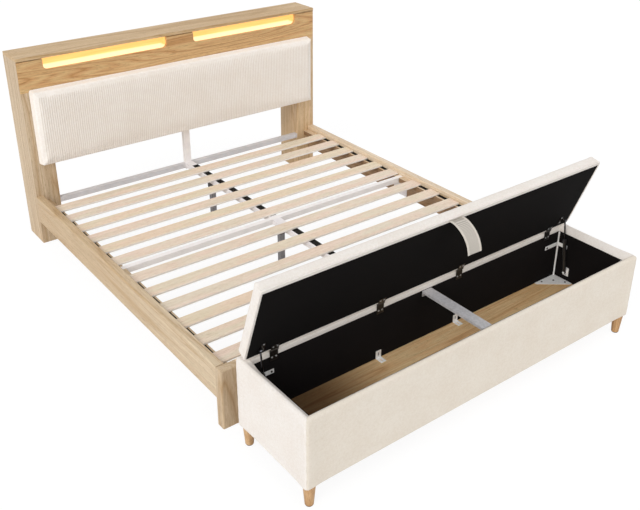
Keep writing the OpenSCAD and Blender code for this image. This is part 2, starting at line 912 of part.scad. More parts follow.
module corner_fittings() {
    color(zinc) {
        both_sides() corner_fitting();
        both_sides()
            translate([0, 2 * chest_mid_y, 0])
                mirror([0, 1, 0]) corner_fitting();
        for (x = [-hinge_left_x, hinge_right_x])
            translate([x, 0, 0]) angle_bracket();
    }
}

// Turned, tapered legs with a glide
module chest_legs() {
    color(oak)
        both_sides()
            for (y = [chest_back_y - leg_inset_y, chest_front_y + leg_inset_y])
                translate([chest_w / 2 - leg_inset_x, y, 0]) {
                    cylinder(h = 1.5 * glide_h, d = leg_foot_d - glide_h);
                    translate([0, 0, glide_h])
                        cylinder(h = chest_leg_h - glide_h, d1 = leg_foot_d, d2 = leg_top_d);
                }
}

// ---- Hinges ----

// Leaf on the back wall with two knuckles, and the pin between them
module wall_leaves() {
    color(dark_steel)
        for (hinge = hinge_xs)
            translate([hinge, 0, 0]) {
                block([-leaf_w / 2, lined_back - sheet_t, axis_z - leaf_start - wall_leaf_len],
                      [leaf_w / 2, lined_back, axis_z - leaf_start]);
                for (low_x = [-leaf_w / 2, leaf_w / 2 - wall_knuckle_w]) {
                    translate([low_x, axis_y, axis_z])
                        bar_x(knuckle_r, wall_knuckle_w);
                    block([low_x, lined_back - sheet_t, axis_z - leaf_start - 1],
                          [low_x + wall_knuckle_w, lined_back, axis_z]);
                }
                translate([-leaf_w / 2, axis_y, axis_z])
                    bar_x(pin_r, leaf_w);
                for (x = [-1, 1])
                    translate([x * leaf_w / 4, lined_back - sheet_t / 2,
                               axis_z - leaf_start - 0.65 * wall_leaf_len])
                        rotate([90, 0, 0])
                            cylinder(h = sheet_t, d = 0.9 * screw_head_d);
            }
}

// The lid's pieces are drawn shut, with the hinge axis at the origin, and turned open here
module lid_frame() {
    translate([0, axis_y, axis_z])
        rotate([-lid_open, 0, 0])
            children();
}

// Leaf on the lid with one knuckle, bored for the pin
module lid_leaves() {
    color(dark_steel)
        lid_frame()
            for (hinge = hinge_xs)
                translate([hinge, 0, 0]) {
                    block([-leaf_w / 2, -leaf_start - lid_leaf_len, -sheet_t],
                          [leaf_w / 2, -leaf_start, 0]);
                    difference() {
                        union() {
                            translate([-lid_knuckle_w / 2, 0, 0])
                                bar_x(knuckle_r, lid_knuckle_w);
                            block([-lid_knuckle_w / 2, -leaf_start - 1, -sheet_t],
                                  [lid_knuckle_w / 2, 0, 0]);
                        }
                        translate([-lid_knuckle_w, 0, 0])
                            bar_x(pin_r + run_clear, 2 * lid_knuckle_w);
                    }
                    for (x = [-1, 1])
                        translate([x * leaf_w / 4, -leaf_start - 0.6 * lid_leaf_len, -1.5 * sheet_t])
                            cylinder(h = sheet_t, d = 0.9 * screw_head_d);
                }
}

// ---- Lid ----

module lid_pad() {
    pad_len = lid_len - lid_pad_start;
    color(cream)
        lid_frame()
            translate([0, -lid_pad_start - pad_len / 2, lining_t])
                pillow(lid_w, pad_len, lid_t, lid_edge_r, lid_corner_r, lid_crown, 3);
}

module lid_lining() {
    color(black_cloth)
        lid_frame()
            block([lid_border_x - lid_w / 2, lid_border_front - lid_len, 0],
                  [lid_w / 2 - lid_border_x, -lid_lining_start, lining_t]);
}

// Bracket on the lid with an ear and the upper stud of each strut
module lid_brackets() {
    ear_x = strut_x - eye_w / 2 - 2 * stud_r;
    color(dark_steel)
        lid_frame()
            both_sides() {
                block([ear_x - lid_plate_w, -anchor_along - lid_plate_len / 2, -sheet_t],
                      [ear_x + sheet_t, -anchor_along + lid_plate_len / 2, 0]);
                translate([ear_x, -anchor_along, 0])
                    along_x(sheet_t) {
                        translate([0, -anchor_down]) circle(stud_r + ear_rim);
                        polygon([[-ear_foot / 2, 0], [ear_foot / 2, 0],
                                 [stud_r + ear_rim, -anchor_down],
                                 [-stud_r - ear_rim, -anchor_down]]);
                    }
                translate([ear_x, -anchor_along, -anchor_down])
                    bar_x(stud_r, strut_x - eye_w / 2 - end_clear - ear_x);
                for (y = [-1, 1])
                    translate([ear_x - lid_plate_w / 2, -anchor_along + y * lid_plate_len / 3,
                               -1.5 * sheet_t])
                        cylinder(h = sheet_t, d = 0.8 * screw_head_d);
            }
}

// Where the strap runs in y and z: from under the lid's free edge, out, over and down
strap_root = lid_point(lid_len - strap_inset, strap_t / 2 + soft_clear - lining_t);
function strap_point(t) =
    let (bends = [[0, 0], [-0.07 * strap_reach, 0.13 * strap_fall],
                  [-0.90 * strap_reach, -0.09 * strap_fall], [-strap_reach, -strap_fall]],
         weights = [pow(1 - t, 3), 3 * t * pow(1 - t, 2), 3 * t * t * (1 - t), t * t * t])
    strap_root + weights * bends;
function strap_edge(t, offset) =
    let (ahead = strap_point(t + 0.001) - strap_point(t - 0.001), along = ahead / norm(ahead))
    strap_point(t) + offset * [-along[1], along[0]];

// Band of ribbed cloth that hangs from the lid's free edge
module pull_strap() {
    color(cream)
        translate([strap_x - strap_w / 2, 0, 0])
            along_x(strap_w)
                polygon(concat([for (i = [0:20]) strap_edge(i / 20, strap_t / 2)],
                               [for (i = [20:-1:0]) strap_edge(i / 20, -strap_t / 2)]));
}

// ---- Struts ----

// Stud with a head and a boss, on a plate on the end wall's lining
module strut_brackets() {
    plate_x = lined_x - sheet_t;
    boss_x = strut_x + eye_w / 2 + side_clear;
    head_x = strut_x - eye_w / 2 - side_clear - sheet_t;
    color(dark_steel)
        both_sides() {
            block([plate_x, foot_stud[0] - foot_plate_w / 2, foot_stud[1] - foot_plate_h / 2],
                  [lined_x, foot_stud[0] + foot_plate_w / 2, foot_stud[1] + foot_plate_h / 2]);
            translate([boss_x, foot_stud[0], foot_stud[1]])
                bar_x(stud_r + 2, plate_x - boss_x);
            translate([head_x, foot_stud[0], foot_stud[1]])
                bar_x(stud_r, plate_x - head_x);
            translate([head_x, foot_stud[0], foot_stud[1]])
                bar_x(stud_r + 2, sheet_t);
            for (z = [-1, 1])
                translate([plate_x - sheet_t / 2, foot_stud[0], foot_stud[1] + z * foot_screw])
                    bar_x(0.4 * screw_head_d, sheet_t);
        }
}

// A strut's pieces are drawn along z from the lower stud and leaned here
module strut_frame(side) {
    on_side(side)
        translate([strut_x, foot_stud[0], foot_stud[1]])
            rotate([strut_lean - 90, 0, 0])
                children();
}

// Cylinder with its eye on the lower stud and a guide in its mouth
module strut(side) {
    color(black_plastic)
        strut_frame(side)
            difference() {
                union() {
                    translate([-eye_w / 2, 0, 0])
                        bar_x(eye_r, eye_w);
                    translate([0, 0, eye_r - 1])
                        cylinder(h = cylinder_len - eye_r + 1, r = cylinder_r);
                    cylinder(h = eye_r, r = eye_w / 2 - 0.5);
                }
                translate([-eye_w, 0, 0])
                    bar_x(stud_r + run_clear, 2 * eye_w);
                translate([0, 0, 2 * eye_r])
                    cylinder(h = cylinder_len - guide_len - 2 * eye_r, r = cylinder_bore_r);
                translate([0, 0, cylinder_len - guide_len - 1])
                    cylinder(h = guide_len + 2, r = rod_r + run_clear);
            }
}

// Rod with its piston, and the closed end that the lid's stud drives
module rod(side) {
    color(zinc)
        strut_frame(side) {
            translate([0, 0, piston_at])
                cylinder(h = open_reach - piston_at, r = rod_r);
            translate([0, 0, piston_at])
                cylinder(h = piston_len, r = cylinder_bore_r - run_clear);
            translate([-eye_w / 2, 0, open_reach])
                bar_x(rod_end_r, eye_w);
        }
}

head_side(left);  // head_side_left
head_side(right);  // head_side_right
post(left);  // post_left
post(right);  // post_right
top_board();
fascia();
niche_tray(left);  // niche_tray_left
niche_tray(right);  // niche_tray_right
led_strips();
back_panel();
base_board();
cushion_board();
head_cushion();
centre_post();
rail(left);  // rail_left
rail(right);  // rail_right
foot_rail();
foot_leg(left);  // foot_leg_left
foot_leg(right);  // foot_leg_right
ledge(left);  // ledge_left
ledge(right);  // ledge_right
head_cross_tube();
mid_cross_tube();
beam_head();
beam_foot();
centre_legs();
rail_plates();
webbing();
for (number = [1:head_slats + foot_slats])
    slat(number);
chest_front();
chest_rear();
chest_end(left);  // chest_end_left
chest_end(right);  // chest_end_right
chest_lining();
chest_floor();
brace_bar();
corner_fittings();
chest_legs();
wall_leaves();
strut_brackets();
lid_pad();
lid_lining();
lid_leaves();
lid_brackets();
pull_strap();
strut(left);  // strut_left
rod(left);  // rod_left
strut(right);  // strut_right
rod(right);  // rod_right
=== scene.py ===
# %% [markdown]
# # A king-size bed with a lit headboard, and the padded blanket chest at its foot
#
# The bed is made of oak-veneered boards, a padded headboard cushion, bent birch slats and a steel
# frame under them. The chest is made of four padded walls round a black lining, with a padded lid
# on four hinges and two gas struts. The script loads the engineering model as a fixed frame, gives
# its solids real finishes, replaces the soft solids by upholstery, and adds the small parts.
#
# Everything is in metres. +X is the right of the picture, +Y points to the headboard, +Z is up.

# %% Load the frame
import math

import bmesh
import bpy
import numpy as np
from mathutils import Matrix, Vector


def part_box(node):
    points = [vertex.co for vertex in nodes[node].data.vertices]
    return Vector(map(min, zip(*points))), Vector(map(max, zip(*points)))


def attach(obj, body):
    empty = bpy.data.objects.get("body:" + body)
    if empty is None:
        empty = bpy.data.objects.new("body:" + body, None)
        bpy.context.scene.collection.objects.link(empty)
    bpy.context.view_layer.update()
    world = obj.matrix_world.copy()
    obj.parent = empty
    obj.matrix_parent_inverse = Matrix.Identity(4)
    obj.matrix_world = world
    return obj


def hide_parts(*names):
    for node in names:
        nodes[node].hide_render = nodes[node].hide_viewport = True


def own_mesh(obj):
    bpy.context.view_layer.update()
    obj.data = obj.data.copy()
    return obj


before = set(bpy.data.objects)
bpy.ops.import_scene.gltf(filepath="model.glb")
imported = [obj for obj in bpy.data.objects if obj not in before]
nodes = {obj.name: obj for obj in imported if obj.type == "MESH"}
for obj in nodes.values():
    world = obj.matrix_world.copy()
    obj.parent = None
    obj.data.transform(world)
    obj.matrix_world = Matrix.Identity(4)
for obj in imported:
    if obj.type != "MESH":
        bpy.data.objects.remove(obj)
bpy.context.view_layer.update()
scene = bpy.context.scene
scene.view_settings.view_transform = "Standard"

# %% [markdown]
# ## Camera
# The photograph was taken from the foot of the bed, a little to its left and from above. A camera
# can be set up by eye, or solved from known points. This one was solved from the edges of the
# headboard, rails and chest, so its place, its turn and its focal length are plain numbers. The
# picture is a crop of a larger one: a small shift of the lens gives that.

# %% Camera
PICTURE = (640, 510)
focal_px, centre_px = 857.93, (325.10, 202.00)
yaw, pitch, roll = (math.radians(a) for a in (-37.50, -26.11, 0.34))
ahead = Vector((-math.sin(yaw) * math.cos(pitch), math.cos(yaw) * math.cos(pitch), math.sin(pitch)))
level = Vector((math.cos(yaw), math.sin(yaw), 0))
upward = level.cross(ahead)
cam_x = math.cos(roll) * level + math.sin(roll) * upward
cam_y = -math.sin(roll) * level + math.cos(roll) * upward
turn = Matrix((cam_x, cam_y, -ahead)).transposed().to_4x4()

lens = bpy.data.cameras.new("camera")
lens.sensor_width = 36
lens.lens = 36 * focal_px / PICTURE[0]
lens.shift_x = (PICTURE[0] / 2 - centre_px[0]) / PICTURE[0]
lens.shift_y = (centre_px[1] - PICTURE[1] / 2) / PICTURE[0]
lens.clip_end = 100
camera = bpy.data.objects.new("camera", lens)
camera.matrix_world = Matrix.Translation((-2.39917, -3.35839, 2.48134)) @ turn
scene.collection.objects.link(camera)
scene.camera = camera
print("camera: %.1f mm lens, looking along" % lens.lens, [round(v, 3) for v in ahead])

# %% [markdown]
# ## Nodes and colours
# A material is a small graph. `add` makes one node, sets its choices and wires or fills its
# sockets, and the short functions after it stand for the nodes that come up most, so that a
# material reads as a list of steps. Colours are written as sRGB hex, as a paint card gives them,
# and `hex_colour` turns them to the linear values that shaders need.

# %% One node, one colour
def add(tree, kind, sockets=None, **choices):
    """A new node. `sockets` holds a value or a link for each input, `choices` its settings."""
    node = tree.nodes.new(kind)
    for name, value in choices.items():
        setattr(node, name, value)
    for name, value in (sockets or {}).items():
        if isinstance(value, bpy.types.NodeSocket):
            tree.links.new(value, node.inputs[name])
        else:
            node.inputs[name].default_value = value
    return node


def hex_colour(code):
    parts = [int(code[i:i + 2], 16) / 255 for i in (1, 3, 5)]
    return [p / 12.92 if p <= 0.04045 else ((p + 0.055) / 1.055) ** 2.4 for p in parts] + [1.0]


def new_finish(name, **values):
    """An empty material: its tree and a shader with these values, ready for a pattern."""
    finish = bpy.data.materials.new(name)
    finish.use_nodes = True
    tree = finish.node_tree
    tree.nodes.clear()
    shader = add(tree, "ShaderNodeBsdfPrincipled",
                 {label.replace("_", " "): value for label, value in values.items()})
    add(tree, "ShaderNodeOutputMaterial", {"Surface": shader.outputs[0]})
    return finish, tree, shader


def ramp(tree, value, *stops):
    """A colour ramp through (position, hex) stops."""
    node = add(tree, "ShaderNodeValToRGB", {"Fac": value})
    band = node.color_ramp
    while len(band.elements) < len(stops):
        band.elements.new(0.5)
    for element, (at, code) in zip(band.elements, stops):
        element.position = at
        element.color = hex_colour(code)
    return node.outputs["Color"]


def place(tree, scale=(1, 1, 1), shift=(0, 0, 0)):
    """Object coordinates, shifted and scaled: a scale of 1000 counts millimetres."""
    here = add(tree, "ShaderNodeTexCoord")
    return add(tree, "ShaderNodeMapping", {"Vector": here.outputs["Object"], "Scale": scale,
                                           "Location": shift}).outputs[0]


def xyz(tree, vector):
    return add(tree, "ShaderNodeSeparateXYZ", {0: vector}).outputs


def maths(tree, operation, a, b=0.5):
    return add(tree, "ShaderNodeMath", {0: a, 1: b}, operation=operation).outputs[0]


def noise(tree, where, scale, detail, **more):
    return add(tree, "ShaderNodeTexNoise",
               {"Vector": where, "Scale": scale, "Detail": detail, **more}).outputs["Fac"]


def remap(tree, value, low, high, to_low=0.0, to_high=1.0, **choices):
    """Turns low to high into to_low to to_high, and stays there beyond them."""
    return add(tree, "ShaderNodeMapRange",
               {"Value": value, "From Min": low, "From Max": high, "To Min": to_low,
                "To Max": to_high}, **choices).outputs[0]


def mix_colours(tree, kind, amount, a, b):
    return add(tree, "ShaderNodeMix", {0: amount, 6: a, 7: b}, data_type="RGBA",
               blend_type=kind).outputs[2]


def tinted(tree, amount, colour, value, *stops):
    """The colour times a ramp of the value."""
    return mix_colours(tree, "MULTIPLY", amount, colour, ramp(tree, value, *stops))


def painted(tree, shader, colour, height, distance, strength):
    """Wires a colour and a relief: height is 0 to 1, and distance is what 1 is in metres."""
    tree.links.new(colour, shader.inputs["Base Color"])
    bump = add(tree, "ShaderNodeBump", {"Height": height, "Distance": distance,
                                        "Strength": strength})
    tree.links.new(bump.outputs[0], shader.inputs["Normal"])


print("oak mid tone in linear values:", [round(v, 3) for v in hex_colour("#CDB797")])

# %% [markdown]
# ## World, floor and lamps
# The photograph is a cut-out on white with soft light from the upper left. A white world would
# light the object too strongly, so what the camera, a mirror or a glass sees is white, and what
# lights the object is a plain grey of its own strength. Three large, soft suns add direction. The
# floor is white card: for the camera it is mostly plain white, and a faint shadow stays on it.

# %% World
world = bpy.data.worlds.new("studio")
world.use_nodes = True
scene.world = world
sky = world.node_tree
sky.nodes.clear()
ray = add(sky, "ShaderNodeLightPath").outputs
seen = maths(sky, "MAXIMUM", ray["Is Camera Ray"],
             maths(sky, "MAXIMUM", ray["Is Glossy Ray"], ray["Is Transmission Ray"]))
soft_light = add(sky, "ShaderNodeBackground", {"Color": hex_colour("#FBFCFF"), "Strength": 0.53})
white = add(sky, "ShaderNodeBackground", {"Color": (1, 1, 1, 1), "Strength": 1.0})
both = add(sky, "ShaderNodeMixShader", {0: seen, 1: soft_light.outputs[0], 2: white.outputs[0]})
add(sky, "ShaderNodeOutputWorld", {"Surface": both.outputs[0]})


# %% Floor
def show(name, data):
    """A new object in the scene, at the origin."""
    shown = bpy.data.objects.new(name, data)
    scene.collection.objects.link(shown)
    return shown


floor_card = bpy.data.materials.new("white_card")
floor_card.use_nodes = True
card = floor_card.node_tree
card.nodes.clear()
ray = add(card, "ShaderNodeLightPath").outputs
lit = add(card, "ShaderNodeBsdfDiffuse", {"Color": hex_colour("#F7F7F7")})
plain = add(card, "ShaderNodeEmission", {"Color": (1, 1, 1, 1), "Strength": 1.05})
blend = add(card, "ShaderNodeMixShader", {0: maths(card, "MULTIPLY", ray["Is Camera Ray"], 0.86),
                                          1: lit.outputs[0], 2: plain.outputs[0]})
add(card, "ShaderNodeOutputMaterial", {"Surface": blend.outputs[0]})

floor_mesh = bpy.data.meshes.new("floor")
floor_mesh.from_pydata([(x, y, -0.0005) for x, y in ((-30, -30), (30, -30), (30, 30), (-30, 30))],
                       [], [(0, 1, 2, 3)])
floor_mesh.materials.append(floor_card)
floor = show("floor", floor_mesh)


# %% Lamps
def soft_sun(name, towards, energy, spread, colour):
    """A sun whose light comes from `towards`, with soft shadows."""
    data = bpy.data.lights.new(name, "SUN")
    data.energy = energy
    data.angle = math.radians(spread)
    data.color = hex_colour(colour)[:3]
    show(name, data).rotation_euler = Vector(towards).to_track_quat("Z", "Y").to_euler()


soft_sun("window_left", (-0.95, -0.35, 0.62), 1.46, 35, "#FFFDFA")
soft_sun("fill_front", (0.30, -0.85, 0.45), 0.45, 60, "#FFFDFB")
soft_sun("skylight", (0.10, -0.10, 1.0), 0.34, 90, "#FFFDFA")

# %% [markdown]
# ## Oak veneer
# The boards are chipboard faced with oak veneer and a matt lacquer. Plain-sawn oak shows long
# arches, which are the growth rings cut at a flat angle, and short dark pores along the grain.
# An image would give both, but a pattern made of noise is sharp at any distance and never
# repeats. A noise that is stretched along the grain is like a hilly board, and its contour lines,
# which a ping-pong of the height draws, are the arches. Rings lie about 20 mm apart, and pores
# are 1 mm wide, which is a little coarser than real ones so that they show.
#
# Some boards carry painted light and shade in their veneer. The right post, the right rail and
# ledge, the foot rail and the chest's floor are lighter than the other boards: painted light for
# the shade these lamps leave on them. The left part of the chest's floor is painted darker, as
# the shadow of its left wall, and the right-hand boards are painted darker under the slats, as
# their shade. These lamps alone leave both places lighter.

# %% Oak veneer
def oak_veneer(name, along, tones, shift=(0, 0, 0), arches=9.0, roughness=0.47):
    """Lacquered veneer with its grain along axis `along`: 0 is x, 1 is y and 2 is z."""
    finish, tree, shader = new_finish(name, Roughness=roughness, IOR=1.5,
                                      Specular_IOR_Level=0.35)

    def grain(across, lengthwise):
        scale = [across] * 3
        scale[along] = lengthwise
        return place(tree, scale, shift)

    hills = noise(tree, grain(6.5, 0.45), 1, 1.6, Roughness=0.42, Distortion=0.3)
    contour = maths(tree, "PINGPONG", maths(tree, "MULTIPLY", hills, arches), 0.5)
    rings = ramp(tree, maths(tree, "MULTIPLY", contour, 2.0),
                 (0.0, tones[0]), (0.16, tones[1]), (0.62, tones[2]), (1.0, tones[1]))
    fibre = noise(tree, grain(240, 3.5), 1, 3, Roughness=0.6)
    pore = noise(tree, grain(900, 26), 1, 1)
    board = noise(tree, grain(2.2, 0.8), 1, 0)
    colour = tinted(tree, 0.75, rings, fibre, (0.30, "#D9D0C4"), (0.62, "#FFFFFF"))
    colour = tinted(tree, 0.8, colour, pore, (0.30, "#B9A78F"), (0.40, "#FFFFFF"))
    colour = tinted(tree, 1.0, colour, board, (0.30, "#EFE7DC"), (0.70, "#FFFFFF"))
    painted(tree, shader, colour, pore, 0.00012, 0.5)
    return finish


PALE_OAK = ("#C6AA86", "#D6C0A2", "#E1D0B6")
# Painted light: a lighter oak for the right post, which the cushion shades under these lamps.
POST_OAK_PAINTED_LIGHT = ("#D6B58A", "#E4C8A2", "#EDD6B4")
TOP_OAK = ("#C3A375", "#D3B68B", "#DEC49D")
WARM_OAK = ("#CDA16C", "#E3B987", "#EED19F")
# Painted light: a lighter oak for the right rail and ledge, whose inner faces these lamps shade.
RIGHT_OAK_PAINTED_LIGHT = ("#D6BB97", "#E5D0B2", "#EEDDC6")
RAIL_OAK = ("#D2B893", "#DBC5A6", "#E2D0B3")
# Painted light: a lighter oak for the foot rail, which the chest and its lid shade.
FOOT_OAK_PAINTED_LIGHT = ("#E9CCA6", "#FAE3C2", "#FFF1D4")
# Painted light: a lighter oak for the chest's floor, which its walls and lid shade.
FLOOR_OAK_PAINTED_LIGHT = ("#E2B382", "#F8D09D", "#FFE2B2")
oak_upright = oak_veneer("oak_veneer_upright", 2, PALE_OAK, (0.4, 1.7, 0.2))
oak_right_post = oak_veneer("oak_veneer_right_post", 2, POST_OAK_PAINTED_LIGHT, (1.2, 0.7, 3.2))
oak_across = oak_veneer("oak_veneer_across", 0, TOP_OAK, (2.1, 0.3, 5.4))
oak_fascia = oak_veneer("oak_veneer_fascia", 0, WARM_OAK, (1.35, 0.9, 0.45), arches=11.0)
oak_lengthways = oak_veneer("oak_veneer_lengthways", 1, RAIL_OAK, (3.3, 0.6, 1.9), arches=6.0)
oak_right_painted_light = oak_veneer("oak_veneer_light_board", 1, RIGHT_OAK_PAINTED_LIGHT, (1.9, 3.6, 0.7), arches=6.0)
oak_ledge = oak_veneer("oak_veneer_ledge", 1, RIGHT_OAK_PAINTED_LIGHT, (3.3, 0.6, 1.7), arches=6.0)
oak_foot = oak_veneer("oak_veneer_foot_board", 0, FOOT_OAK_PAINTED_LIGHT, (0.9, 2.6, 3.7), arches=6.0)
oak_floor = oak_veneer("oak_veneer_chest_floor", 0, FLOOR_OAK_PAINTED_LIGHT, (0.7, 4.2, 0.8))


# %% Change a finished veneer by its place
def repaint(finish):
    """The tree, the shader's colour socket, what feeds it, and the place's x, y and z."""
    tree = finish.node_tree
    shader = next(n for n in tree.nodes if n.type == "BSDF_PRINCIPLED")
    socket = shader.inputs["Base Color"]
    return tree, socket, socket.links[0].from_socket, xyz(tree, place(tree))


def paint_wall_shadow(finish, x_dark, x_plain, code):
    """Painted shadow: darkens a board's veneer towards -x, as the shadow of a box's left wall."""
    tree, socket, old, spot = repaint(finish)
    near = remap(tree, spot["X"], x_dark, x_plain, interpolation_type="SMOOTHSTEP")
    tree.links.new(tinted(tree, 1.0, old, near, (0.0, code), (1.0, "#FFFFFF")), socket)


def paint_shade_under_slats(finish, inner_x, top_z, code, skin=0.0005):
    """Painted shade: darkens the inner face of a right-hand board, under the slats."""
    tree, socket, old, spot = repaint(finish)
    under = maths(tree, "MULTIPLY", maths(tree, "LESS_THAN", spot["X"], inner_x + skin),
                  maths(tree, "LESS_THAN", spot["Z"], top_z - skin))
    tree.links.new(tinted(tree, 1.0, old, under, (0.0, "#FFFFFF"), (1.0, code)), socket)


# Painted shadow: the chest's floor darkens towards its left wall.
paint_wall_shadow(oak_floor, -0.66, -0.22, "#857A70")
# Painted shade: the right-hand ledge and rail darken on their inner faces under the slats.
ledge_low, ledge_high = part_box("ledge_right")
paint_shade_under_slats(oak_ledge, ledge_low.x, ledge_high.z, "#A99783")
paint_shade_under_slats(oak_right_painted_light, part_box("rail_right")[0].x, ledge_low.z, "#BCAC9C")
print("oak finishes:", [m.name for m in bpy.data.materials if m.name.startswith("oak")])

# %% [markdown]
# ## Birch slats
# Slats are strips of thin birch plies, glued and bent in a press. Their tops show the even, silky
# grain of birch, in tones that differ from slat to slat and drift from rose to straw along each
# one. Their sawn long edges show the plies as lines, and they are painted paler than the tops:
# painted light, as these lamps leave them darker than the tops. One function makes the finish,
# and four tones are dealt out over the slats. The faces' normals tell the edges from the top, and
# lines every 3 mm in height are the plies, which is coarser than real ones so that they show.

# %% Birch slats
def birch_ply(name, dark, pale, shift):
    finish, tree, shader = new_finish(name, Roughness=0.5, IOR=1.5)
    silk = noise(tree, place(tree, (1.6, 60, 60), shift), 1, 3, Roughness=0.55, Distortion=0.6)
    fleck = noise(tree, place(tree, (30, 700, 700), shift), 1, 1)
    patch = noise(tree, place(tree, (4.5, 16, 16), shift), 1, 1)
    face = ramp(tree, silk, (0.30, dark), (0.66, pale))
    face = tinted(tree, 0.6, face, fleck, (0.32, "#CDBBA4"), (0.46, "#FFFFFF"))
    face = tinted(tree, 1.0, face, patch, (0.38, "#FFF7F0"), (0.62, "#F8F9EF"))
    height = xyz(tree, place(tree, [1000 / 3] * 3))["Z"]
    # Painted light: the edges' ply colours are paler than the tops, besides drawing the plies'
    # lines.
    plies_and_painted_light = ramp(tree, maths(tree, "PINGPONG", height, 0.5),
                 (0.05, "#DCCFBE"), (0.14, "#F3EBE1"), (0.42, "#FBF6F0"))
    normal = add(tree, "ShaderNodeNewGeometry").outputs["Normal"]
    edge = maths(tree, "GREATER_THAN", maths(tree, "ABSOLUTE", xyz(tree, normal)["Y"]), 0.75)
    painted(tree, shader, mix_colours(tree, "MIX", edge, face, plies_and_painted_light), fleck, 0.00008, 0.5)
    return finish


slat_tones = [birch_ply("birch_ply_pink", "#E8D7C7", "#F2E6DB", (0.3, 1.1, 0.6)),
              birch_ply("birch_ply_pale", "#E9D8C6", "#F3E6D8", (2.2, 0.4, 1.6)),
              birch_ply("birch_ply_straw", "#E9D7C2", "#F2E4D2", (4.6, 2.3, 0.2)),
              birch_ply("birch_ply_rose", "#E8D7C8", "#F2E4D8", (1.1, 3.6, 2.4))]
print("slat finishes:", len(slat_tones))

# %% [markdown]
# ## Cloth
# Four cloths are on this object. The upholstery is a cream chenille: fat soft yarns about 1.6 mm
# wide, whose nap takes the light from the side. The chest's front wall has a darker, warmer copy
# of it: painted shade, for a face that gets less light than the chest's ends. On the headboard
# cushion the hollows between the cords are painted darker: painted shade. The lid and the walls
# are lined with black non-woven felt. The slats hang on black polypropylene webbing, and the pull
# strap is a cream band with a ribbed middle. Yarns and fibres come from small noise and waves in
# millimetres, and the soft rim of light on cloth is the shader's sheen.

# %% Upholstery cloth
def chenille(name, shade, lights, groove=None):
    """Soft nubby yarn with a sheen; `groove` paints shade where the attribute "groove" is high."""
    finish, tree, shader = new_finish(name, Roughness=0.92, Specular_IOR_Level=0.2,
                                      Sheen_Weight=0.18, Sheen_Roughness=0.5)
    here = place(tree)
    nub = add(tree, "ShaderNodeTexVoronoi", {"Vector": here, "Scale": 620.0,
                                             "Randomness": 0.8}).outputs["Distance"]
    nap = noise(tree, here, 95, 3, Roughness=0.6)
    cloud = noise(tree, here, 7, 2)
    colour = ramp(tree, nub, (0.10, lights), (0.75, shade))
    colour = tinted(tree, 0.8, colour, nap, (0.32, "#F8F6F3"), (0.62, "#FFFFFF"))
    colour = tinted(tree, 0.8, colour, cloud, (0.35, "#FBF9F7"), (0.65, "#FFFFFF"))
    # Painted shade: the cloth darkens to the groove colour in the hollows between cords.
    if groove:
        depth = add(tree, "ShaderNodeAttribute", attribute_name="groove").outputs["Fac"]
        colour = mix_colours(tree, "MIX", depth, colour, hex_colour(groove))
    relief = maths(tree, "ADD", maths(tree, "MULTIPLY", nub, -0.6), nap)
    painted(tree, shader, colour, relief, 0.0007, 0.55)
    return finish


cream_cloth = chenille("chenille_cream", "#EDE6DF", "#F8F5F1")
# Painted shade: a darker, warmer copy of the cream chenille for the chest's front wall.
front_cloth_painted_shade = chenille("chenille_brushed_down", "#E3DACC", "#EDE6DB")
# The groove colour is painted shade for the hollows between the cords.
cushion_cloth = chenille("chenille_corded", "#FBF4EC", "#FFFDF9", groove="#DDD2C6")
hem_cloth = chenille("strap_hem_cloth", "#CFC9BF", "#E2DDD5")


# %% Black lining
def felt(name, dark, light):
    """Non-woven felt: pressed fibres, matt, with faint lighter strands."""
    finish, tree, shader = new_finish(name, Roughness=0.96, Specular_IOR_Level=0.15)
    here = place(tree)
    strand = noise(tree, here, 340, 4, Roughness=0.7, Distortion=1.2)
    value = maths(tree, "ADD", maths(tree, "MULTIPLY", strand, 0.8),
                  maths(tree, "MULTIPLY", noise(tree, here, 9, 2), 0.2))
    painted(tree, shader, ramp(tree, value, (0.35, dark), (0.75, light)), strand, 0.0004, 0.6)
    return finish


black_felt = felt("felt_black", "#0A0808", "#181414")
lid_felt = felt("felt_black_lid", "#040303", "#0D0A0A")


# %% Webbing and strap cloth
def band_weave(name, dark, light, pitch_mm, across, roughness):
    """A woven band: ribs run across it, `pitch_mm` apart along axis `across`."""
    finish, tree, shader = new_finish(name, Roughness=roughness, Specular_IOR_Level=0.12)
    rib = maths(tree, "PINGPONG", xyz(tree, place(tree, [1000 / pitch_mm] * 3))[across], 0.5)
    value = maths(tree, "ADD", maths(tree, "MULTIPLY", rib, 1.3),
                  maths(tree, "MULTIPLY", noise(tree, place(tree), 900, 2), 0.35))
    painted(tree, shader, ramp(tree, value, (0.2, dark), (0.75, light)), value, 0.0005, 0.6)
    return finish


black_webbing = band_weave("polypropylene_webbing", "#060504", "#130F0D", 2.0, 1, 0.6)
strap_cloth = band_weave("ribbed_strap_cloth", "#A7A096", "#CFC9C0", 3.4, 2, 0.9)
print("cloths:", [m.name for m in (cream_cloth, front_cloth_painted_shade, cushion_cloth, hem_cloth,
                                   black_felt, lid_felt, black_webbing, strap_cloth)])

# %% [markdown]
# ## Metals, paint and plastics
# The tubes are powder-coated steel: a plastic skin with a fine orange peel, in whites that differ
# a little. The centre post's and the middle tube's whites are lighter than the rest: painted
# light for the shade these lamps leave on them. The chest's fittings have a baked coat of zinc
# flakes, a matt pale grey that is more binder than metal, and dark screws. The hinges are
# black-nickel steel with bright screws, the struts are black enamelled tubes, and their rods are
# blued steel. A metal keeps the shader's own IOR: its colour and roughness make the difference.

# %% Powder coat
def powder_coat(name, base, shade):
    finish, tree, shader = new_finish(name, Roughness=0.42)
    here = place(tree)
    rub = ramp(tree, noise(tree, here, 14, 3), (0.35, shade), (0.6, base))
    painted(tree, shader, rub, noise(tree, here, 420, 1), 0.00015, 0.5)
    return finish


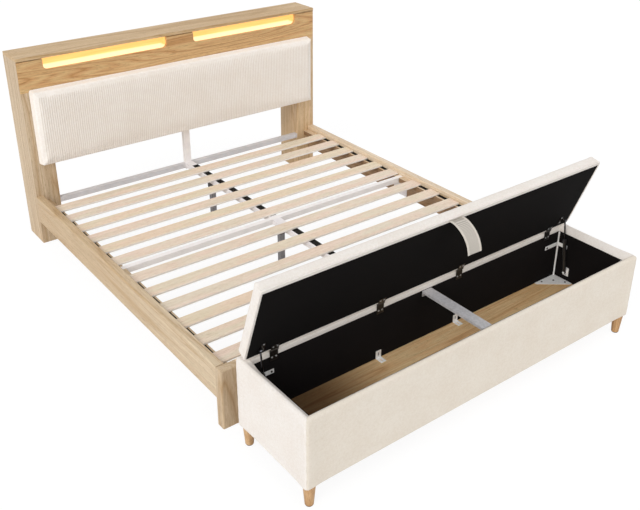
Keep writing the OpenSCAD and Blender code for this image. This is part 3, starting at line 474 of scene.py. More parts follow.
white_coat = powder_coat("powder_coat_white", "#F3EFEF", "#EAE6E7")
tube_coat = powder_coat("powder_coat_head_tube", "#DFDCDD", "#D6D3D4")
# Painted light: lighter copies of the white coat for the centre post and the middle tube.
post_coat_painted_light = powder_coat("powder_coat_centre_post", "#FDF8F5", "#F6F0EE")
middle_coat_painted_light = powder_coat("powder_coat_middle_tube", "#F8F4F2", "#F2EEEC")


# %% Sheet metal
def plated(name, dark, light, rough_low, rough_high, scale, grain=0.0001, metallic=1.0):
    """Plated steel: cloudy colour and a roughness that varies with it."""
    finish, tree, shader = new_finish(name, Metallic=metallic)
    here = place(tree)
    cloud = add(tree, "ShaderNodeTexVoronoi", {"Vector": here, "Scale": scale,
                                               "Randomness": 1.0}).outputs["Distance"]
    wipe = noise(tree, here, scale * 0.6, 4)
    value = maths(tree, "ADD", maths(tree, "MULTIPLY", cloud, 0.5),
                  maths(tree, "MULTIPLY", wipe, 0.6))
    tree.links.new(remap(tree, value, 0.2, 0.8, rough_low, rough_high),
                   shader.inputs["Roughness"])
    painted(tree, shader, ramp(tree, value, (0.25, dark), (0.75, light)), wipe, grain, 0.4)
    return finish


zinc_flake = plated("zinc_flake_coat", "#F1F0EF", "#FEFDFB", 0.45, 0.62, 120, metallic=0.05)
zinc_bar = plated("zinc_flake_bar", "#BDBCBF", "#D6D5D8", 0.42, 0.60, 90, metallic=0.25)
black_nickel = plated("black_nickel_steel", "#34322F", "#595652", 0.28, 0.45, 260)
blued_rod = plated("blued_steel_rod", "#45454A", "#6C6C72", 0.18, 0.30, 60, 0.00002)
screw_steel = plated("zinc_plated_screw", "#A9ABAE", "#D2D3D5", 0.25, 0.4, 500)


# %% Enamel
def enamel(name, base, shade, roughness):
    finish, tree, shader = new_finish(name, Roughness=roughness, Coat_Weight=0.5,
                                      Coat_Roughness=0.12)
    skin = noise(tree, place(tree), 55, 2)
    painted(tree, shader, ramp(tree, skin, (0.3, shade), (0.7, base)), skin, 0.00005, 0.4)
    return finish


black_enamel = enamel("black_enamel", "#2C2A29", "#201F1E", 0.3)
print("metals and paints ready:", white_coat.name, zinc_flake.name, black_nickel.name)

# %% [markdown]
# ## Niches and light strips
# A strip of warm light-emitting diodes behind a frosted cover lies under the top board in each
# niche. It lights a golden-yellow painted liner. Light from the strip alone would be noisy and
# would be lost in the exported model, so the liner also glows by itself: golden on its back, and
# nearly white over its floor, where the light of the strip falls. The diodes show faintly through
# the cover, one every 16.6 mm.

# %% Niche liner and light strip
def lit_liner(name):
    finish, tree, shader = new_finish(name, Roughness=0.6)
    height = xyz(tree, place(tree))["Z"]
    brush = noise(tree, place(tree, (4, 80, 80)), 1, 2)
    paint = ramp(tree, brush, (0.3, "#C9963F"), (0.7, "#D3A24C"))
    back = ramp(tree, brush, (0.3, "#F6CB7C"), (0.7, "#FDD88F"))
    glow = mix_colours(tree, "MIX", remap(tree, height, 1.050, 1.058), hex_colour("#FFF5CE"), back)
    power = remap(tree, height, 1.045, 1.062, 0.90, 0.70)
    for value, socket in ((paint, "Base Color"), (glow, "Emission Color"),
                          (power, "Emission Strength")):
        tree.links.new(value, shader.inputs[socket])
    return finish


def diode_cover(name, pitch_mm=16.6):
    finish, tree, shader = new_finish(name, Roughness=0.35, Emission_Strength=1.2)
    spot = maths(tree, "PINGPONG", xyz(tree, place(tree, [1000 / pitch_mm] * 3))["X"], 0.5)
    light = ramp(tree, spot, (0.05, "#FFD78C"), (0.35, "#FFF1CC"))
    for socket in ("Base Color", "Emission Color"):
        tree.links.new(light, shader.inputs[socket])
    return finish


niche_paint = lit_liner("niche_paint_golden")
strip_cover = diode_cover("frosted_strip_cover")
print("niche finishes:", niche_paint.name, strip_cover.name)

# %% [markdown]
# ## Two finishes that change along a piece
# The centre legs are grey, and the sleeves that hold them in the tube are darker. The chest's
# turned oak legs stand on black plastic glides. Height above the floor tells the two apart, so
# each material mixes its two looks by the Z of the object's coordinates.

# %% Legs
def split_by_height(finish, height, code, above, blend=0.0006):
    """Above `height`, or else below it, the finish's colour turns to the given one."""
    tree, socket, old, spot = repaint(finish)
    share = remap(tree, spot["Z"], height - blend, height + blend)
    low, high = (old, hex_colour(code)) if above else (hex_colour(code), old)
    tree.links.new(mix_colours(tree, "MIX", share, low, high), socket)
    return finish


sleeve_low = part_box("beam_head")[0].z - 0.040
LEG_OAK = ("#BA9166", "#D0A87A", "#DCB88D")
leg_coat = split_by_height(powder_coat("powder_coat_legs", "#8E8F93", "#808186"), sleeve_low,
                           "#3C3C3F", above=True)
turned_oak = split_by_height(oak_veneer("turned_oak_leg", 2, LEG_OAK, (0.9, 0.2, 1.1),
                                        arches=14.0, roughness=0.4), 0.004, "#161616", above=False)
print("leg finishes:", leg_coat.name, turned_oak.name)

# %% [markdown]
# ## Finishes for the solids that keep their shape
# The boards, slats, tubes and sheet parts of the engineering model have their right shape
# already, so they keep their mesh and only get a finish. Real boards never have a knife-sharp
# edge: a weld and a narrow bevel soften them, which also draws the fine joint lines where two
# boards meet.

# %% Dress the solids
finishes = (
    (oak_upright, "head_side_left head_side_right post_left foot_leg_left foot_leg_right"),
    (oak_right_post, "post_right"), (oak_fascia, "fascia"), (oak_foot, "foot_rail"),
    (oak_across, "top_board back_panel base_board cushion_board"),
    (oak_lengthways, "rail_left ledge_left"), (oak_right_painted_light, "rail_right"), (oak_ledge, "ledge_right"),
    (niche_paint, "niche_tray_left niche_tray_right"), (strip_cover, "led_strips"),
    (post_coat_painted_light, "centre_post"), (tube_coat, "head_cross_tube"), (middle_coat_painted_light, "mid_cross_tube"),
    (white_coat, "beam_head beam_foot rail_plates"), (leg_coat, "centre_legs"),
    (black_felt, "chest_lining"), (lid_felt, "lid_lining"), (oak_floor, "chest_floor"),
    (zinc_bar, "brace_bar"), (zinc_flake, "strut_brackets"), (turned_oak, "chest_legs"),
    (black_nickel, "wall_leaves lid_leaves lid_brackets"),
    (black_enamel, "strut_left strut_right"), (blued_rod, "rod_left rod_right"))
wear = {name: finish for finish, names in finishes for name in names.split()}
for number, tone in enumerate([1, 0, 2, 3, 2, 0, 3, 1, 0, 2, 1, 3], 1):
    wear["slat_%d" % number] = slat_tones[tone]
for name, finish in wear.items():
    for slot in nodes[name].material_slots:
        slot.material = finish

eased_boards = ["head_side_left", "head_side_right", "post_left", "post_right", "top_board",
                "fascia", "foot_rail", "base_board"]
for name in eased_boards:
    weld = nodes[name].modifiers.new("weld", "WELD")
    weld.merge_threshold = 0.00005
    bevel = nodes[name].modifiers.new("eased_edges", "BEVEL")
    bevel.width = 0.0012
    bevel.segments = 2
    bevel.limit_method = "ANGLE"
    bevel.angle_limit = math.radians(35)
    bevel.use_clamp_overlap = True
print("dressed", len(wear), "solids,", len(eased_boards), "with eased edges")

# %% [markdown]
# ## Padded pieces: from a lattice to a stuffed cover
# The headboard cushion, the lid and the chest's four walls are boards with foam and cloth over
# them. Such a piece can be sculpted, or grown from a plain block by cloth simulation. Here each
# one starts as a lattice of quads over a rounded block, a few millimetres smaller than the real
# piece. Cloth with air pressure inside then swells it, while the side that is glued to its board
# is pinned. The lattice keeps its rows and columns through all this, so that cords, seams and
# ribs can be laid on it afterwards. How far a point may move is capped, and some of the walls'
# and the lid's points are clipped close to the space that the engineering model gives them.

# %% Lattice of a rounded block
def steps_along(low, high, ease_low, ease_high, step):
    """Places along one axis: dense over the two rounded ends, and about `step` apart between."""
    dense = [math.tan(math.radians(a)) for a in (45, 34, 22.5, 11)]
    start = [low + ease_low * (1 - d) for d in dense] if ease_low > 0 else [low]
    end = [high - ease_high * (1 - d) for d in dense[::-1]] if ease_high > 0 else [high]
    first, last = low + ease_low, high - ease_high
    middle = list(np.linspace(first, last, max(2, round((last - first) / step)) + 1))
    if ease_low <= 0:
        middle = middle[1:]
    if ease_high <= 0:
        middle = middle[:-1]
    return np.array(start + middle + end)


def block_lattice(low, high, eases, step):
    """Points on a rounded block. eases = ((x low, x high), (y low, y high), (z low, z high))."""
    axes = [steps_along(low[a], high[a], eases[a][0], eases[a][1], step[a]) for a in range(3)]
    grid = np.stack(np.meshgrid(*axes, indexing="ij"), -1)
    inner = np.stack([np.clip(grid[..., a], low[a] + eases[a][0], high[a] - eases[a][1])
                      for a in range(3)], -1)
    away = grid - inner
    size = np.stack([np.where(away[..., a] < 0, eases[a][0], eases[a][1]) for a in range(3)], -1)
    ratio = np.where(size > 0, away / np.maximum(size, 1e-9), 0)
    long = np.linalg.norm(ratio, axis=-1, keepdims=True)
    return inner + size * ratio / np.maximum(long, 1e-9)


# %% Mesh of a lattice
def on_shell(shape):
    i, j, k = np.indices(shape)
    return ((i == 0) | (i == shape[0] - 1) | (j == 0) | (j == shape[1] - 1)
            | (k == 0) | (k == shape[2] - 1))


def lattice_faces(number):
    """Quads over the six sides of a lattice; number holds each shell point's place in the mesh."""
    quads = []
    for axis in range(3):
        for end in (0, -1):
            side = np.take(number, end, axis=axis)
            a, b, c, d = side[:-1, :-1], side[1:, :-1], side[1:, 1:], side[:-1, 1:]
            order = (a, b, c, d) if (end == -1) != (axis == 1) else (a, d, c, b)
            quads.append(np.stack([o.ravel() for o in order], -1))
    return np.concatenate(quads)


def solid(name, points, faces, finish):
    """A smooth mesh object in the scene, whose faces look outwards."""
    mesh = bpy.data.meshes.new(name)
    mesh.from_pydata(points, [], faces)
    mesh.materials.append(finish)
    mesh.shade_smooth()
    shell = bmesh.new()
    shell.from_mesh(mesh)
    bmesh.ops.recalc_face_normals(shell, faces=shell.faces)
    shell.to_mesh(mesh)
    shell.free()
    return show(name, mesh)


def lattice_object(name, grids, finish):
    """One mesh from a list of lattices."""
    points, quads = [], []
    for grid in grids:
        shell = on_shell(grid.shape[:3])
        number = np.full(grid.shape[:3], -1)
        number[shell] = len(points) + np.arange(shell.sum())
        points += grid[shell].tolist()
        quads += lattice_faces(number).tolist()
    return solid(name, points, quads, finish)


def smoothed(piece):
    smooth = piece.modifiers.new("smooth", "SUBSURF")
    smooth.levels = smooth.render_levels = 1


def read_points(obj):
    held = obj.evaluated_get(bpy.context.evaluated_depsgraph_get()).data
    points = np.zeros(len(held.vertices) * 3, np.float32)
    held.vertices.foreach_get("co", points)
    return points.reshape(-1, 3).astype(float)


# %% Swell a lattice like a stuffed cover
def stuff(name, grid, glued, pressure=4.0, cap=0.012, slack=-0.006, frames=20):
    """Runs cloth with air pressure on the lattice. `glued` is a mask of the pinned points."""
    shell = on_shell(grid.shape[:3])
    piece = lattice_object(name + "_stuffing", [grid], cream_cloth)
    pins = piece.vertex_groups.new(name="glued")
    pins.add(np.nonzero(glued[shell])[0].tolist(), 1.0, "ADD")
    cloth = piece.modifiers.new("cloth", "CLOTH")
    for key, value in {"vertex_group_mass": "glued", "quality": 6, "mass": 0.35,
                       "tension_stiffness": 22, "compression_stiffness": 22, "shear_stiffness": 6,
                       "bending_stiffness": 0.8, "shrink_min": slack, "use_pressure": True,
                       "uniform_pressure_force": pressure}.items():
        setattr(cloth.settings, key, value)
    cloth.settings.effector_weights.gravity = 0
    cloth.collision_settings.use_collision = False
    cloth.point_cache.frame_start, cloth.point_cache.frame_end = 1, frames
    for number in range(1, frames + 1):
        scene.frame_set(number)
    moved = read_points(piece) - grid[shell]
    far = np.linalg.norm(moved, axis=1, keepdims=True)
    moved *= np.minimum(1, cap / np.maximum(far, 1e-9))
    swelled = grid.copy()
    swelled[shell] += moved
    bpy.data.objects.remove(piece)
    scene.frame_set(1)
    print("%s: %d points, moved %.1f mm at most" % (name, shell.sum(),
                                                    1000 * min(cap, far.max())))
    return swelled


# %% [markdown]
# ## Headboard cushion
# The cushion is covered in a cream cloth with upright cords, which stop at a plain rolled border
# at the top and at both ends. The real cords are 11.8 mm apart. Here they are 12.6 mm apart, so
# that they still show at the far end of the headboard. Bump in the material would give the cords
# too, but they show at the silhouette and catch the side light, so they are real relief. Geometry
# Nodes lay them on the stuffed lattice: a sine of the place along the cushion lifts the front
# towards -y, and the lift fades out at the border. The tree's sizes are its inputs.

# %% Stuff the cushion
low, high = (np.array(corner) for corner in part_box("head_cushion"))
cushion = block_lattice(low + (0.001, 0.005, 0.002), high - (0.001, 0.0, 0.005),
                        ((0.013, 0.013), (0.014, 0.004), (0.011, 0.014)), (0.012, 0.012, 0.012))
back = np.zeros(cushion.shape[:3], bool)
back[:, -4:, :] = True
cushion = stuff("head_cushion", cushion, back, pressure=5.0, cap=0.0065)


# %% More columns for the cords
def refine_columns(grid, parts):
    """The same lattice with `parts` columns for each one along x, on smooth curves."""
    rows = grid.shape[0]
    places = np.linspace(0, rows - 1, (rows - 1) * parts + 1)
    whole = np.minimum(places.astype(int), rows - 2)
    t = (places - whole)[:, None, None, None]
    before, after = np.maximum(whole - 1, 0), np.minimum(whole + 2, rows - 1)
    a, b, c, d = grid[before], grid[whole], grid[whole + 1], grid[after]
    return 0.5 * (2 * b + (c - a) * t + (2 * a - 5 * b + 4 * c - d) * t ** 2
                  + (3 * b - a - 3 * c + d) * t ** 3)


cushion = refine_columns(cushion, 7)
head_cushion = lattice_object("head_cushion_cover", [cushion], cushion_cloth)
print("cushion lattice:", cushion.shape[:3])


# %% A tree with named inputs
def tree_with_inputs(name, inputs):
    """A Geometry Nodes tree: inputs = {name: (kind, value)} after the geometry itself."""
    tree = bpy.data.node_groups.new(name, "GeometryNodeTree")
    tree.interface.new_socket("Geometry", in_out="INPUT", socket_type="NodeSocketGeometry")
    for label, (kind, value) in inputs.items():
        socket = tree.interface.new_socket(label, in_out="INPUT", socket_type="NodeSocket" + kind)
        if kind != "Material":
            socket.default_value = value
    tree.interface.new_socket("Geometry", in_out="OUTPUT", socket_type="NodeSocketGeometry")
    return tree, add(tree, "NodeGroupInput").outputs


def end_tree(tree, geometry, finish):
    real = add(tree, "GeometryNodeRealizeInstances", {"Geometry": geometry})
    dressed = add(tree, "GeometryNodeSetMaterial", {"Geometry": real.outputs[0],
                                                    "Material": finish})
    add(tree, "NodeGroupOutput", {0: dressed.outputs[0]})


def grow(obj, tree, values):
    """Runs the tree on obj with the given inputs, and keeps the result as obj's plain mesh."""
    bend = obj.modifiers.new(tree.name, "NODES")
    bend.node_group = tree
    for item in tree.interface.items_tree:
        if item.in_out == "INPUT" and item.name in values:
            bend[item.identifier] = values[item.name]
    held = bpy.context.evaluated_depsgraph_get()
    made = bpy.data.meshes.new_from_object(obj.evaluated_get(held))
    obj.modifiers.remove(bend)
    made.name = obj.name
    obj.data = made
    made.shade_smooth()


# %% Cords as Geometry Nodes
cords, given = tree_with_inputs("cords", {
    "Pitch": ("Float", 0.012), "Height": ("Float", 0.0022), "Side border": ("Float", 0.03),
    "Top border": ("Float", 0.03), "Half width": ("Float", 0.9), "High": ("Float", 0.9),
    "Finish": ("Material", None)})


def times(a, b):
    return maths(cords, "MULTIPLY", a, b)


def minus(a, b):
    return maths(cords, "SUBTRACT", a, b)


spot = xyz(cords, add(cords, "GeometryNodeInputPosition").outputs[0])
wave = maths(cords, "SINE", times(maths(cords, "DIVIDE", spot["X"], given["Pitch"]), math.pi))
rib = maths(cords, "POWER", maths(cords, "ABSOLUTE", wave), 0.7)
from_end = minus(minus(given["Half width"], maths(cords, "ABSOLUTE", spot["X"])),
                 given["Side border"])
from_top = minus(minus(given["High"], spot["Z"]), given["Top border"])
inside = remap(cords, maths(cords, "MINIMUM", from_end, from_top), 0.0, 0.006)
normal = xyz(cords, add(cords, "GeometryNodeInputNormal").outputs[0])
corded = times(inside, maths(cords, "LESS_THAN", normal["Y"], -0.5))
lift = times(times(rib, given["Height"]), corded)
offset = add(cords, "ShaderNodeCombineXYZ", {"Y": times(lift, -1.0)})
# The attribute "groove" is high in the hollows between cords, where the cloth gets painted shade.
marked = add(cords, "GeometryNodeStoreNamedAttribute", {
    "Geometry": given["Geometry"], "Name": "groove", "Value": times(corded, minus(1.0, rib))})
raised = add(cords, "GeometryNodeSetPosition", {"Geometry": marked.outputs[0],
                                                "Offset": offset.outputs[0]})
end_tree(cords, raised.outputs[0], given["Finish"])
grow(head_cushion, cords, {"Pitch": 0.0126, "Height": 0.0022, "Side border": 0.027,
                           "Top border": 0.036, "Half width": float(high[0]),
                           "High": float(high[2]), "Finish": cushion_cloth})
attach(head_cushion, "bed_and_chest")
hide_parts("head_cushion")
print("cushion:", len(head_cushion.data.polygons), "faces")

# %% [markdown]
# ## The chest's four padded walls
# Each wall is a board wrapped in foam and one piece of cloth, with a rolled rim and its cloth
# tucked under the lining. The walls meet in mitres, which show as a soft seam up each corner.
# The lattice is made flat, as on a workbench: x runs along the wall, y goes in from its outer
# face and z goes up. Its end columns run round the corner to the mitre. Then it is stuffed and
# stood in its place. Walls of one length are stuffed once, and each gets its own creases. The rim
# is padded outside only: from its crown it falls to the lining, except at the back, where the
# hinges need a square edge.

# %% Wall lattice
front_low, front_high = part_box("chest_front")
front_y, foot_z, rim_z = front_low.y, front_low.z, front_high.z
rear_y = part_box("chest_rear")[1].y
chest_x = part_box("chest_end_right")[1].x
middle_y = (front_y + rear_y) / 2
wall = front_high.y - front_y
lining_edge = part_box("chest_lining")[1].z


def wall_lattice(length, inset, corner=0.013):
    """A wall's lattice, `inset` metres smaller on its outer face, its rim and its corners."""
    arc = [math.radians(a) for a in (45, 34, 22.5, 11)]
    half, bend_r = length / 2 - inset, corner - inset
    bend = [(half - bend_r * (1 - math.sin(a)), inset + bend_r * (1 - math.cos(a))) for a in arc]
    straight = np.linspace(-(half - bend_r), half - bend_r, round(length / 0.012))
    outer = np.array([(-x, y) for x, y in bend] + [(x, inset) for x in straight] + bend[::-1])
    share = outer[:, 0] / outer[-1, 0]
    inner = np.stack([share * (length / 2 - wall), np.full(len(outer), wall)], -1)
    ease = 0.017 - inset
    profile = block_lattice((0, inset, foot_z), (1, wall, rim_z - inset),
                            ((0, 0), (ease, 0.014), (0.007, ease)), (1, 0.012, 0.013))[0]
    across = ((profile[..., 1] - inset) / (wall - inset))[None, ..., None]
    plan = outer[:, None, None, :] * (1 - across) + inner[:, None, None, :] * across
    heights = np.broadcast_to(profile[None, ..., 2:3], plan.shape[:3] + (1,))
    return np.concatenate([plan, heights], -1)


def stuffed_wall(name, length):
    """Stuffs the small lattice; towards the mitres it turns into the full one, so corners meet."""
    flat, whole = wall_lattice(length, 0.0015), wall_lattice(length, -0.0025)
    glued = np.zeros(flat.shape[:3], bool)
    glued[[0, -1]] = True
    glued[:, :, 0] = True
    glued[:, -1] = flat[:, -1, :, 2] < lining_edge
    full = stuff(name, flat, glued, pressure=2.6, cap=0.0060,
                                          slack=-0.004)
    from_end = np.clip((length / 2 - np.abs(flat[..., :1])) / 0.11, 0, 1)
    blend = from_end * from_end * (3 - 2 * from_end)
    full = whole * (1 - blend) + full * blend
    full[..., 2] = np.minimum(full[..., 2], rim_z + 0.0004)
    full[..., 1] = np.clip(full[..., 1], -0.006, wall + 0.0004)
    return full


def roll_rim(grid, amount, crown=0.017):
    """Lets the rim fall from its crown to the lining; amount is 0 to 1 for each column."""
    y, z = grid[..., 1], grid[..., 2]
    u = np.clip((y - crown) / (wall - crown), 0, None)
    v = np.clip((z - lining_edge) / (rim_z - lining_edge), 0, None)
    size = u + v
    shrink = np.where((u > 0) & (v > 0) & (size > 1), 1 / np.maximum(size, 1e-9), 1.0)
    shrink = 1 + (shrink - 1) * amount[:, None, None]
    new_y = np.where(u > 0, crown + u * shrink * (wall - crown), y)
    new_z = np.where(v > 0, lining_edge + v * shrink * (rim_z - lining_edge), z)
    lean = (grid[:, -1:, :, 0] - grid[:, :1, :, 0]) / wall
    return np.stack([grid[..., 0] + (new_y - y) * lean, new_y, new_z], -1)


long_wall = stuffed_wall("long_wall", 2 * chest_x)
short_wall = stuffed_wall("short_wall", rear_y - front_y)


# %% Creases
def crease(points, seed, strength):
    """Soft creases: folds across the rim and near the corners, from sines of odd periods."""
    rng = np.random.default_rng(seed)
    run = points[..., 0]
    fold = sum(np.sin(run * 2 * math.pi / period + rng.uniform(0, 6.28)
                      + 1.7 * np.sin(run * 2 * math.pi / (period * 4.3) + rng.uniform(0, 6.28)))
               * rng.uniform(0.5, 1.0) for period in (0.037, 0.059, 0.093, 0.161)) / 4
    up = points[..., 2]
    near_rim = np.clip((up - (rim_z - 0.075)) / 0.05, 0, 1)
    ends = np.abs(run).max() - np.abs(run)
    near_end = np.clip(1 - ends / 0.12, 0, 1)
    slant = np.sin((up * 1.4 + np.abs(run)) * 2 * math.pi / 0.083 + rng.uniform(0, 6.28))
    return strength * (fold * (0.25 + 0.75 * near_rim) + 0.5 * slant * near_end)


# %% Stand the walls
def stand(name, node, flat, seed, put, rolled, cloth=cream_cloth):
    """A stuffed wall with its rolled rim and creases, put in its place."""
    flat = roll_rim(flat, rolled)
    grid = flat.copy()
    soft = crease(flat, seed, 0.0013)
    outer = np.clip(1 - (flat[..., 1] - flat[:, :1, :, 1].min()) / 0.03, 0, 1)
    grid[..., 1] += np.maximum(soft * outer, -0.0022)
    grid[..., 2] -= np.abs(soft) * (flat[..., 2] > rim_z - 0.012) * 0.8
    piece = lattice_object(name, [put(grid)], cloth)
    smoothed(piece)
    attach(piece, "bed_and_chest")
    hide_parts(node)
    return piece


def facing(x_from, y_from, y_to):
    """Turns a flat wall's lattice to its place."""
    def put(grid):
        x, y, z = grid[..., 0], grid[..., 1], grid[..., 2]
        if x_from:
            return np.stack([x_from * (chest_x - y), middle_y + x, z], -1)
        return np.stack([x, y_from + y_to * y, z], -1)
    return put


even = np.ones(len(long_wall))
fading = np.clip((short_wall[-1, 0, 0, 0] - short_wall[:, 0, 0, 0]) / 0.09, 0, 1)
# The front wall wears the chenille with painted shade.
walls = [stand("chest_front_cover", "chest_front", long_wall, 3, facing(0, front_y, 1), even,
               front_cloth_painted_shade),
         stand("chest_rear_cover", "chest_rear", long_wall, 8, facing(0, rear_y, -1), 0 * even),
         stand("chest_left_cover", "chest_end_left", short_wall, 5, facing(-1, 0, 0), fading),
         stand("chest_right_cover", "chest_end_right", short_wall, 12, facing(1, 0, 0), fading)]
print("walls:", [(w.name, len(w.data.polygons)) for w in walls])

# %% [markdown]
# ## Lid
# The lid is one stuffed pad on a board. It is made shut, with the hinge axis at the origin, since
# a lattice wants straight axes, and then turned open like the engineering model's lid: the same
# 70 degrees about the same axis. Its underside is glued to the board and stays flat. Where the
# cover turns under, a thin welt, which is a piping in the same cloth, runs round the edge.

# %% Lid frame
hinge_axis = Vector((0, rear_y - wall - 0.005, rim_z + 0.001))
open_angle = math.radians(70)


def lid_place(points):
    """From the shut lid's own place (x, -along, up) to the open lid in the frame."""
    points = np.asarray(points, float)
    y, z = points[..., 1], points[..., 2]
    cos, sin = math.cos(open_angle), math.sin(open_angle)
    return np.stack([points[..., 0], hinge_axis.y + y * cos + z * sin,
                     hinge_axis.z - y * sin + z * cos], -1)


# The shut lid: its half length, how far its two long edges are from the axis, and its height.
lid_x, lid_from, lid_to, lid_top = chest_x - 0.002, 0.006, 0.424, 0.061
lid = block_lattice((-lid_x + 0.001, -lid_to + 0.001, 0.001),
                    (lid_x - 0.001, -lid_from - 0.001, lid_top - 0.003),
                    ((0.014, 0.014), (0.014, 0.012), (0.004, 0.014)), (0.012, 0.012, 0.0045))
under = np.zeros(lid.shape[:3], bool)
under[:, :, :3] = True
lid = stuff("lid", lid, under, pressure=4.5, cap=0.0055, slack=-0.008)
lid[..., 2] = np.clip(lid[..., 2], 0.001, lid_top + 0.002)
lid[..., 1] = np.clip(lid[..., 1], -lid_to - 0.001, -lid_from + 0.001)

# The seam is a groove round the lid, drawn in towards a smaller rectangle inside it.
seam_up, seam_soft, seam_deep, inset = 0.0125, 0.0028, 0.0035, 0.05
groove = np.exp(-((lid[..., 2:] - seam_up) / seam_soft) ** 2) * (lid[..., 2:] > 0.004)
within = np.stack([np.clip(lid[..., 0], -lid_x + inset, lid_x - inset),
                   np.clip(lid[..., 1], -lid_to + inset, -lid_from - inset), lid[..., 2]], -1)
inwards = within - lid
inwards /= np.maximum(np.linalg.norm(inwards, axis=-1, keepdims=True), 1e-6)
lid = lid + seam_deep * groove * inwards

# Creases lie over the top's edges, and fade within 80 mm.
tops = np.clip((lid[..., 2] - 0.03) / 0.02, 0, 1)
rng = np.random.default_rng(21)
edge_run = np.minimum(lid_x - np.abs(lid[..., 0]), np.minimum(lid_to + lid[..., 1], -lid[..., 1]))
ripple = sum(np.sin((lid[..., 0] * a + lid[..., 1] * b) * 2 * math.pi + c)
             for a, b, c in rng.uniform((8, 5, 0), (24, 14, 6.28), (6, 3))) / 6
lid[..., 2] -= 0.0014 * np.abs(ripple) * tops * np.exp(-np.maximum(edge_run, 0) / 0.08)
lid_cover = lattice_object("lid_cover", [lid_place(lid)], cream_cloth)
smoothed(lid_cover)
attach(lid_cover, "lid")
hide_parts("lid_pad")
print("lid cover:", len(lid_cover.data.polygons), "faces, hinge axis",
      [round(v, 4) for v in hinge_axis])


# %% Tube along a path
def tube_along(name, path, radius, finish, sides=8, closed=False):
    """A round tube through the points of `path`, as a mesh of rings."""
    path = np.asarray(path, float)
    count = len(path)
    ahead_of = np.roll(path, -1, 0) - np.roll(path, 1, 0)
    if not closed:
        ahead_of[0], ahead_of[-1] = path[1] - path[0], path[-1] - path[-2]
    ahead_of /= np.linalg.norm(ahead_of, axis=1, keepdims=True)
    side = np.cross(ahead_of[0], (0, 0, 1) if abs(ahead_of[0][2]) < 0.9 else (1, 0, 0))
    rings = []
    for point, direction in zip(path, ahead_of):
        side = side - direction * side.dot(direction)
        side /= np.linalg.norm(side)
        other = np.cross(direction, side)
        rings.append([point + radius * (math.cos(t) * side + math.sin(t) * other)
                      for t in np.linspace(0, 2 * math.pi, sides, endpoint=False)])
    points = np.concatenate(rings).tolist()
    turns = count if closed else count - 1
    faces = [(r * sides + s, r * sides + (s + 1) % sides, (r + 1) % count * sides + (s + 1) % sides,
              (r + 1) % count * sides + s) for r in range(turns) for s in range(sides)]
    if not closed:
        faces += [tuple(range(sides))[::-1], tuple(range((count - 1) * sides, count * sides))]
    return solid(name, points, faces, finish)


def rounded_path(x, y_low, y_high, corner, step=0.02):
    """A closed rectangle with rounded corners, as points (x, y)."""
    points = []
    for cx, cy, start in ((x - corner, y_high - corner, 0), (-x + corner, y_high - corner, 90),
                          (-x + corner, y_low + corner, 180), (x - corner, y_low + corner, 270)):
        for a in range(0, 91, 15):
            t = math.radians(start + a)
            points.append((cx + corner * math.cos(t), cy + corner * math.sin(t)))
    dense = []
    for a, b in zip(points, points[1:] + points[:1]):
        parts = max(1, int(math.dist(a, b) / step))
        dense += [(a[0] + (b[0] - a[0]) * i / parts, a[1] + (b[1] - a[1]) * i / parts)
                  for i in range(parts)]
    return dense


welt_up, welt_radius = 0.0022, 0.0026
welt_path = [(x, y, welt_up) for x, y in rounded_path(lid_x - 0.0045, -lid_to + 0.0045,
                                                      -lid_from - 0.004, 0.018)]
welt = tube_along("lid_welt", lid_place(welt_path), welt_radius, cream_cloth, closed=True)
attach(welt, "lid")
print("welt:", len(welt_path), "points")

# %% [markdown]
# ## Pull strap
# A band of cream ribbed cloth is sewn under the lid's free edge, and hangs over it. Its two long
# edges are folded hems, which are thicker and lighter, with a line of stitches. The path is the
# engineering model's curve. The band is a ribbon of rows along that curve and columns across it,
# and the columns carry its thickness, so that hems and middle are one mesh with two finishes.

# %% Strap
strap_x, strap_half = 0.002, 0.040
hem_half, middle_half = 0.00155, 0.0009
root_along, root_below = 0.408, 0.0008
root = lid_place([0, -root_along, -root_below])[1:]
bends = [np.array(b) for b in ((0, 0), (-0.00854, 0.01404), (-0.1098, -0.00972), (-0.122, -0.108))]


def strap_run(t):
    """The engineering model's curve, in y and z."""
    weights = ((1 - t) ** 3, 3 * t * (1 - t) ** 2, 3 * t * t * (1 - t), t ** 3)
    return root + sum(w * b for w, b in zip(weights, bends))


def strap_frame(t, share):
    """The strap's place in y and z at t along it, the direction there and the normal."""
    direction = strap_run(min(t + 0.002, 1)) - strap_run(max(t - 0.002, 0))
    direction /= np.linalg.norm(direction)
    normal = np.array((-direction[1], direction[0]))
    wave = 0.0006 * math.sin(9 * t + 2.5 * share) * t
    return strap_run(t) + normal * wave, direction, normal


rows, columns = 96, [-1.0, -0.985, -0.86, -0.75, -0.735, -0.72, -0.5, -0.25, 0.0,
                     0.25, 0.5, 0.72, 0.735, 0.75, 0.86, 0.985, 1.0]
grid = np.zeros((len(columns), rows, 2, 3))
for j in range(rows):
    for i, share in enumerate(columns):
        at, direction, normal = strap_frame(j / (rows - 1), share)
        half = hem_half if 0.745 < abs(share) < 0.99 else middle_half
        for k, side in enumerate((-1, 1)):
            grid[i, j, k] = (strap_x + share * strap_half, *(at + normal * side * half))
strap = lattice_object("pull_strap_cloth", [grid], strap_cloth)
strap.data.materials.append(hem_cloth)
for face in strap.data.polygons:
    face.material_index = int(abs(face.center.x - strap_x) > 0.73 * strap_half)
print("strap:", len(strap.data.polygons), "faces")

# %% [markdown]
# ## Corner strips
# The chest's corner strips are folded from thin sheet, with narrow flanges. They are the solid's
# own mesh, with the upright flanges drawn in towards the corner they stand in.

# %% Narrow the upright flanges
SHEET = 0.002


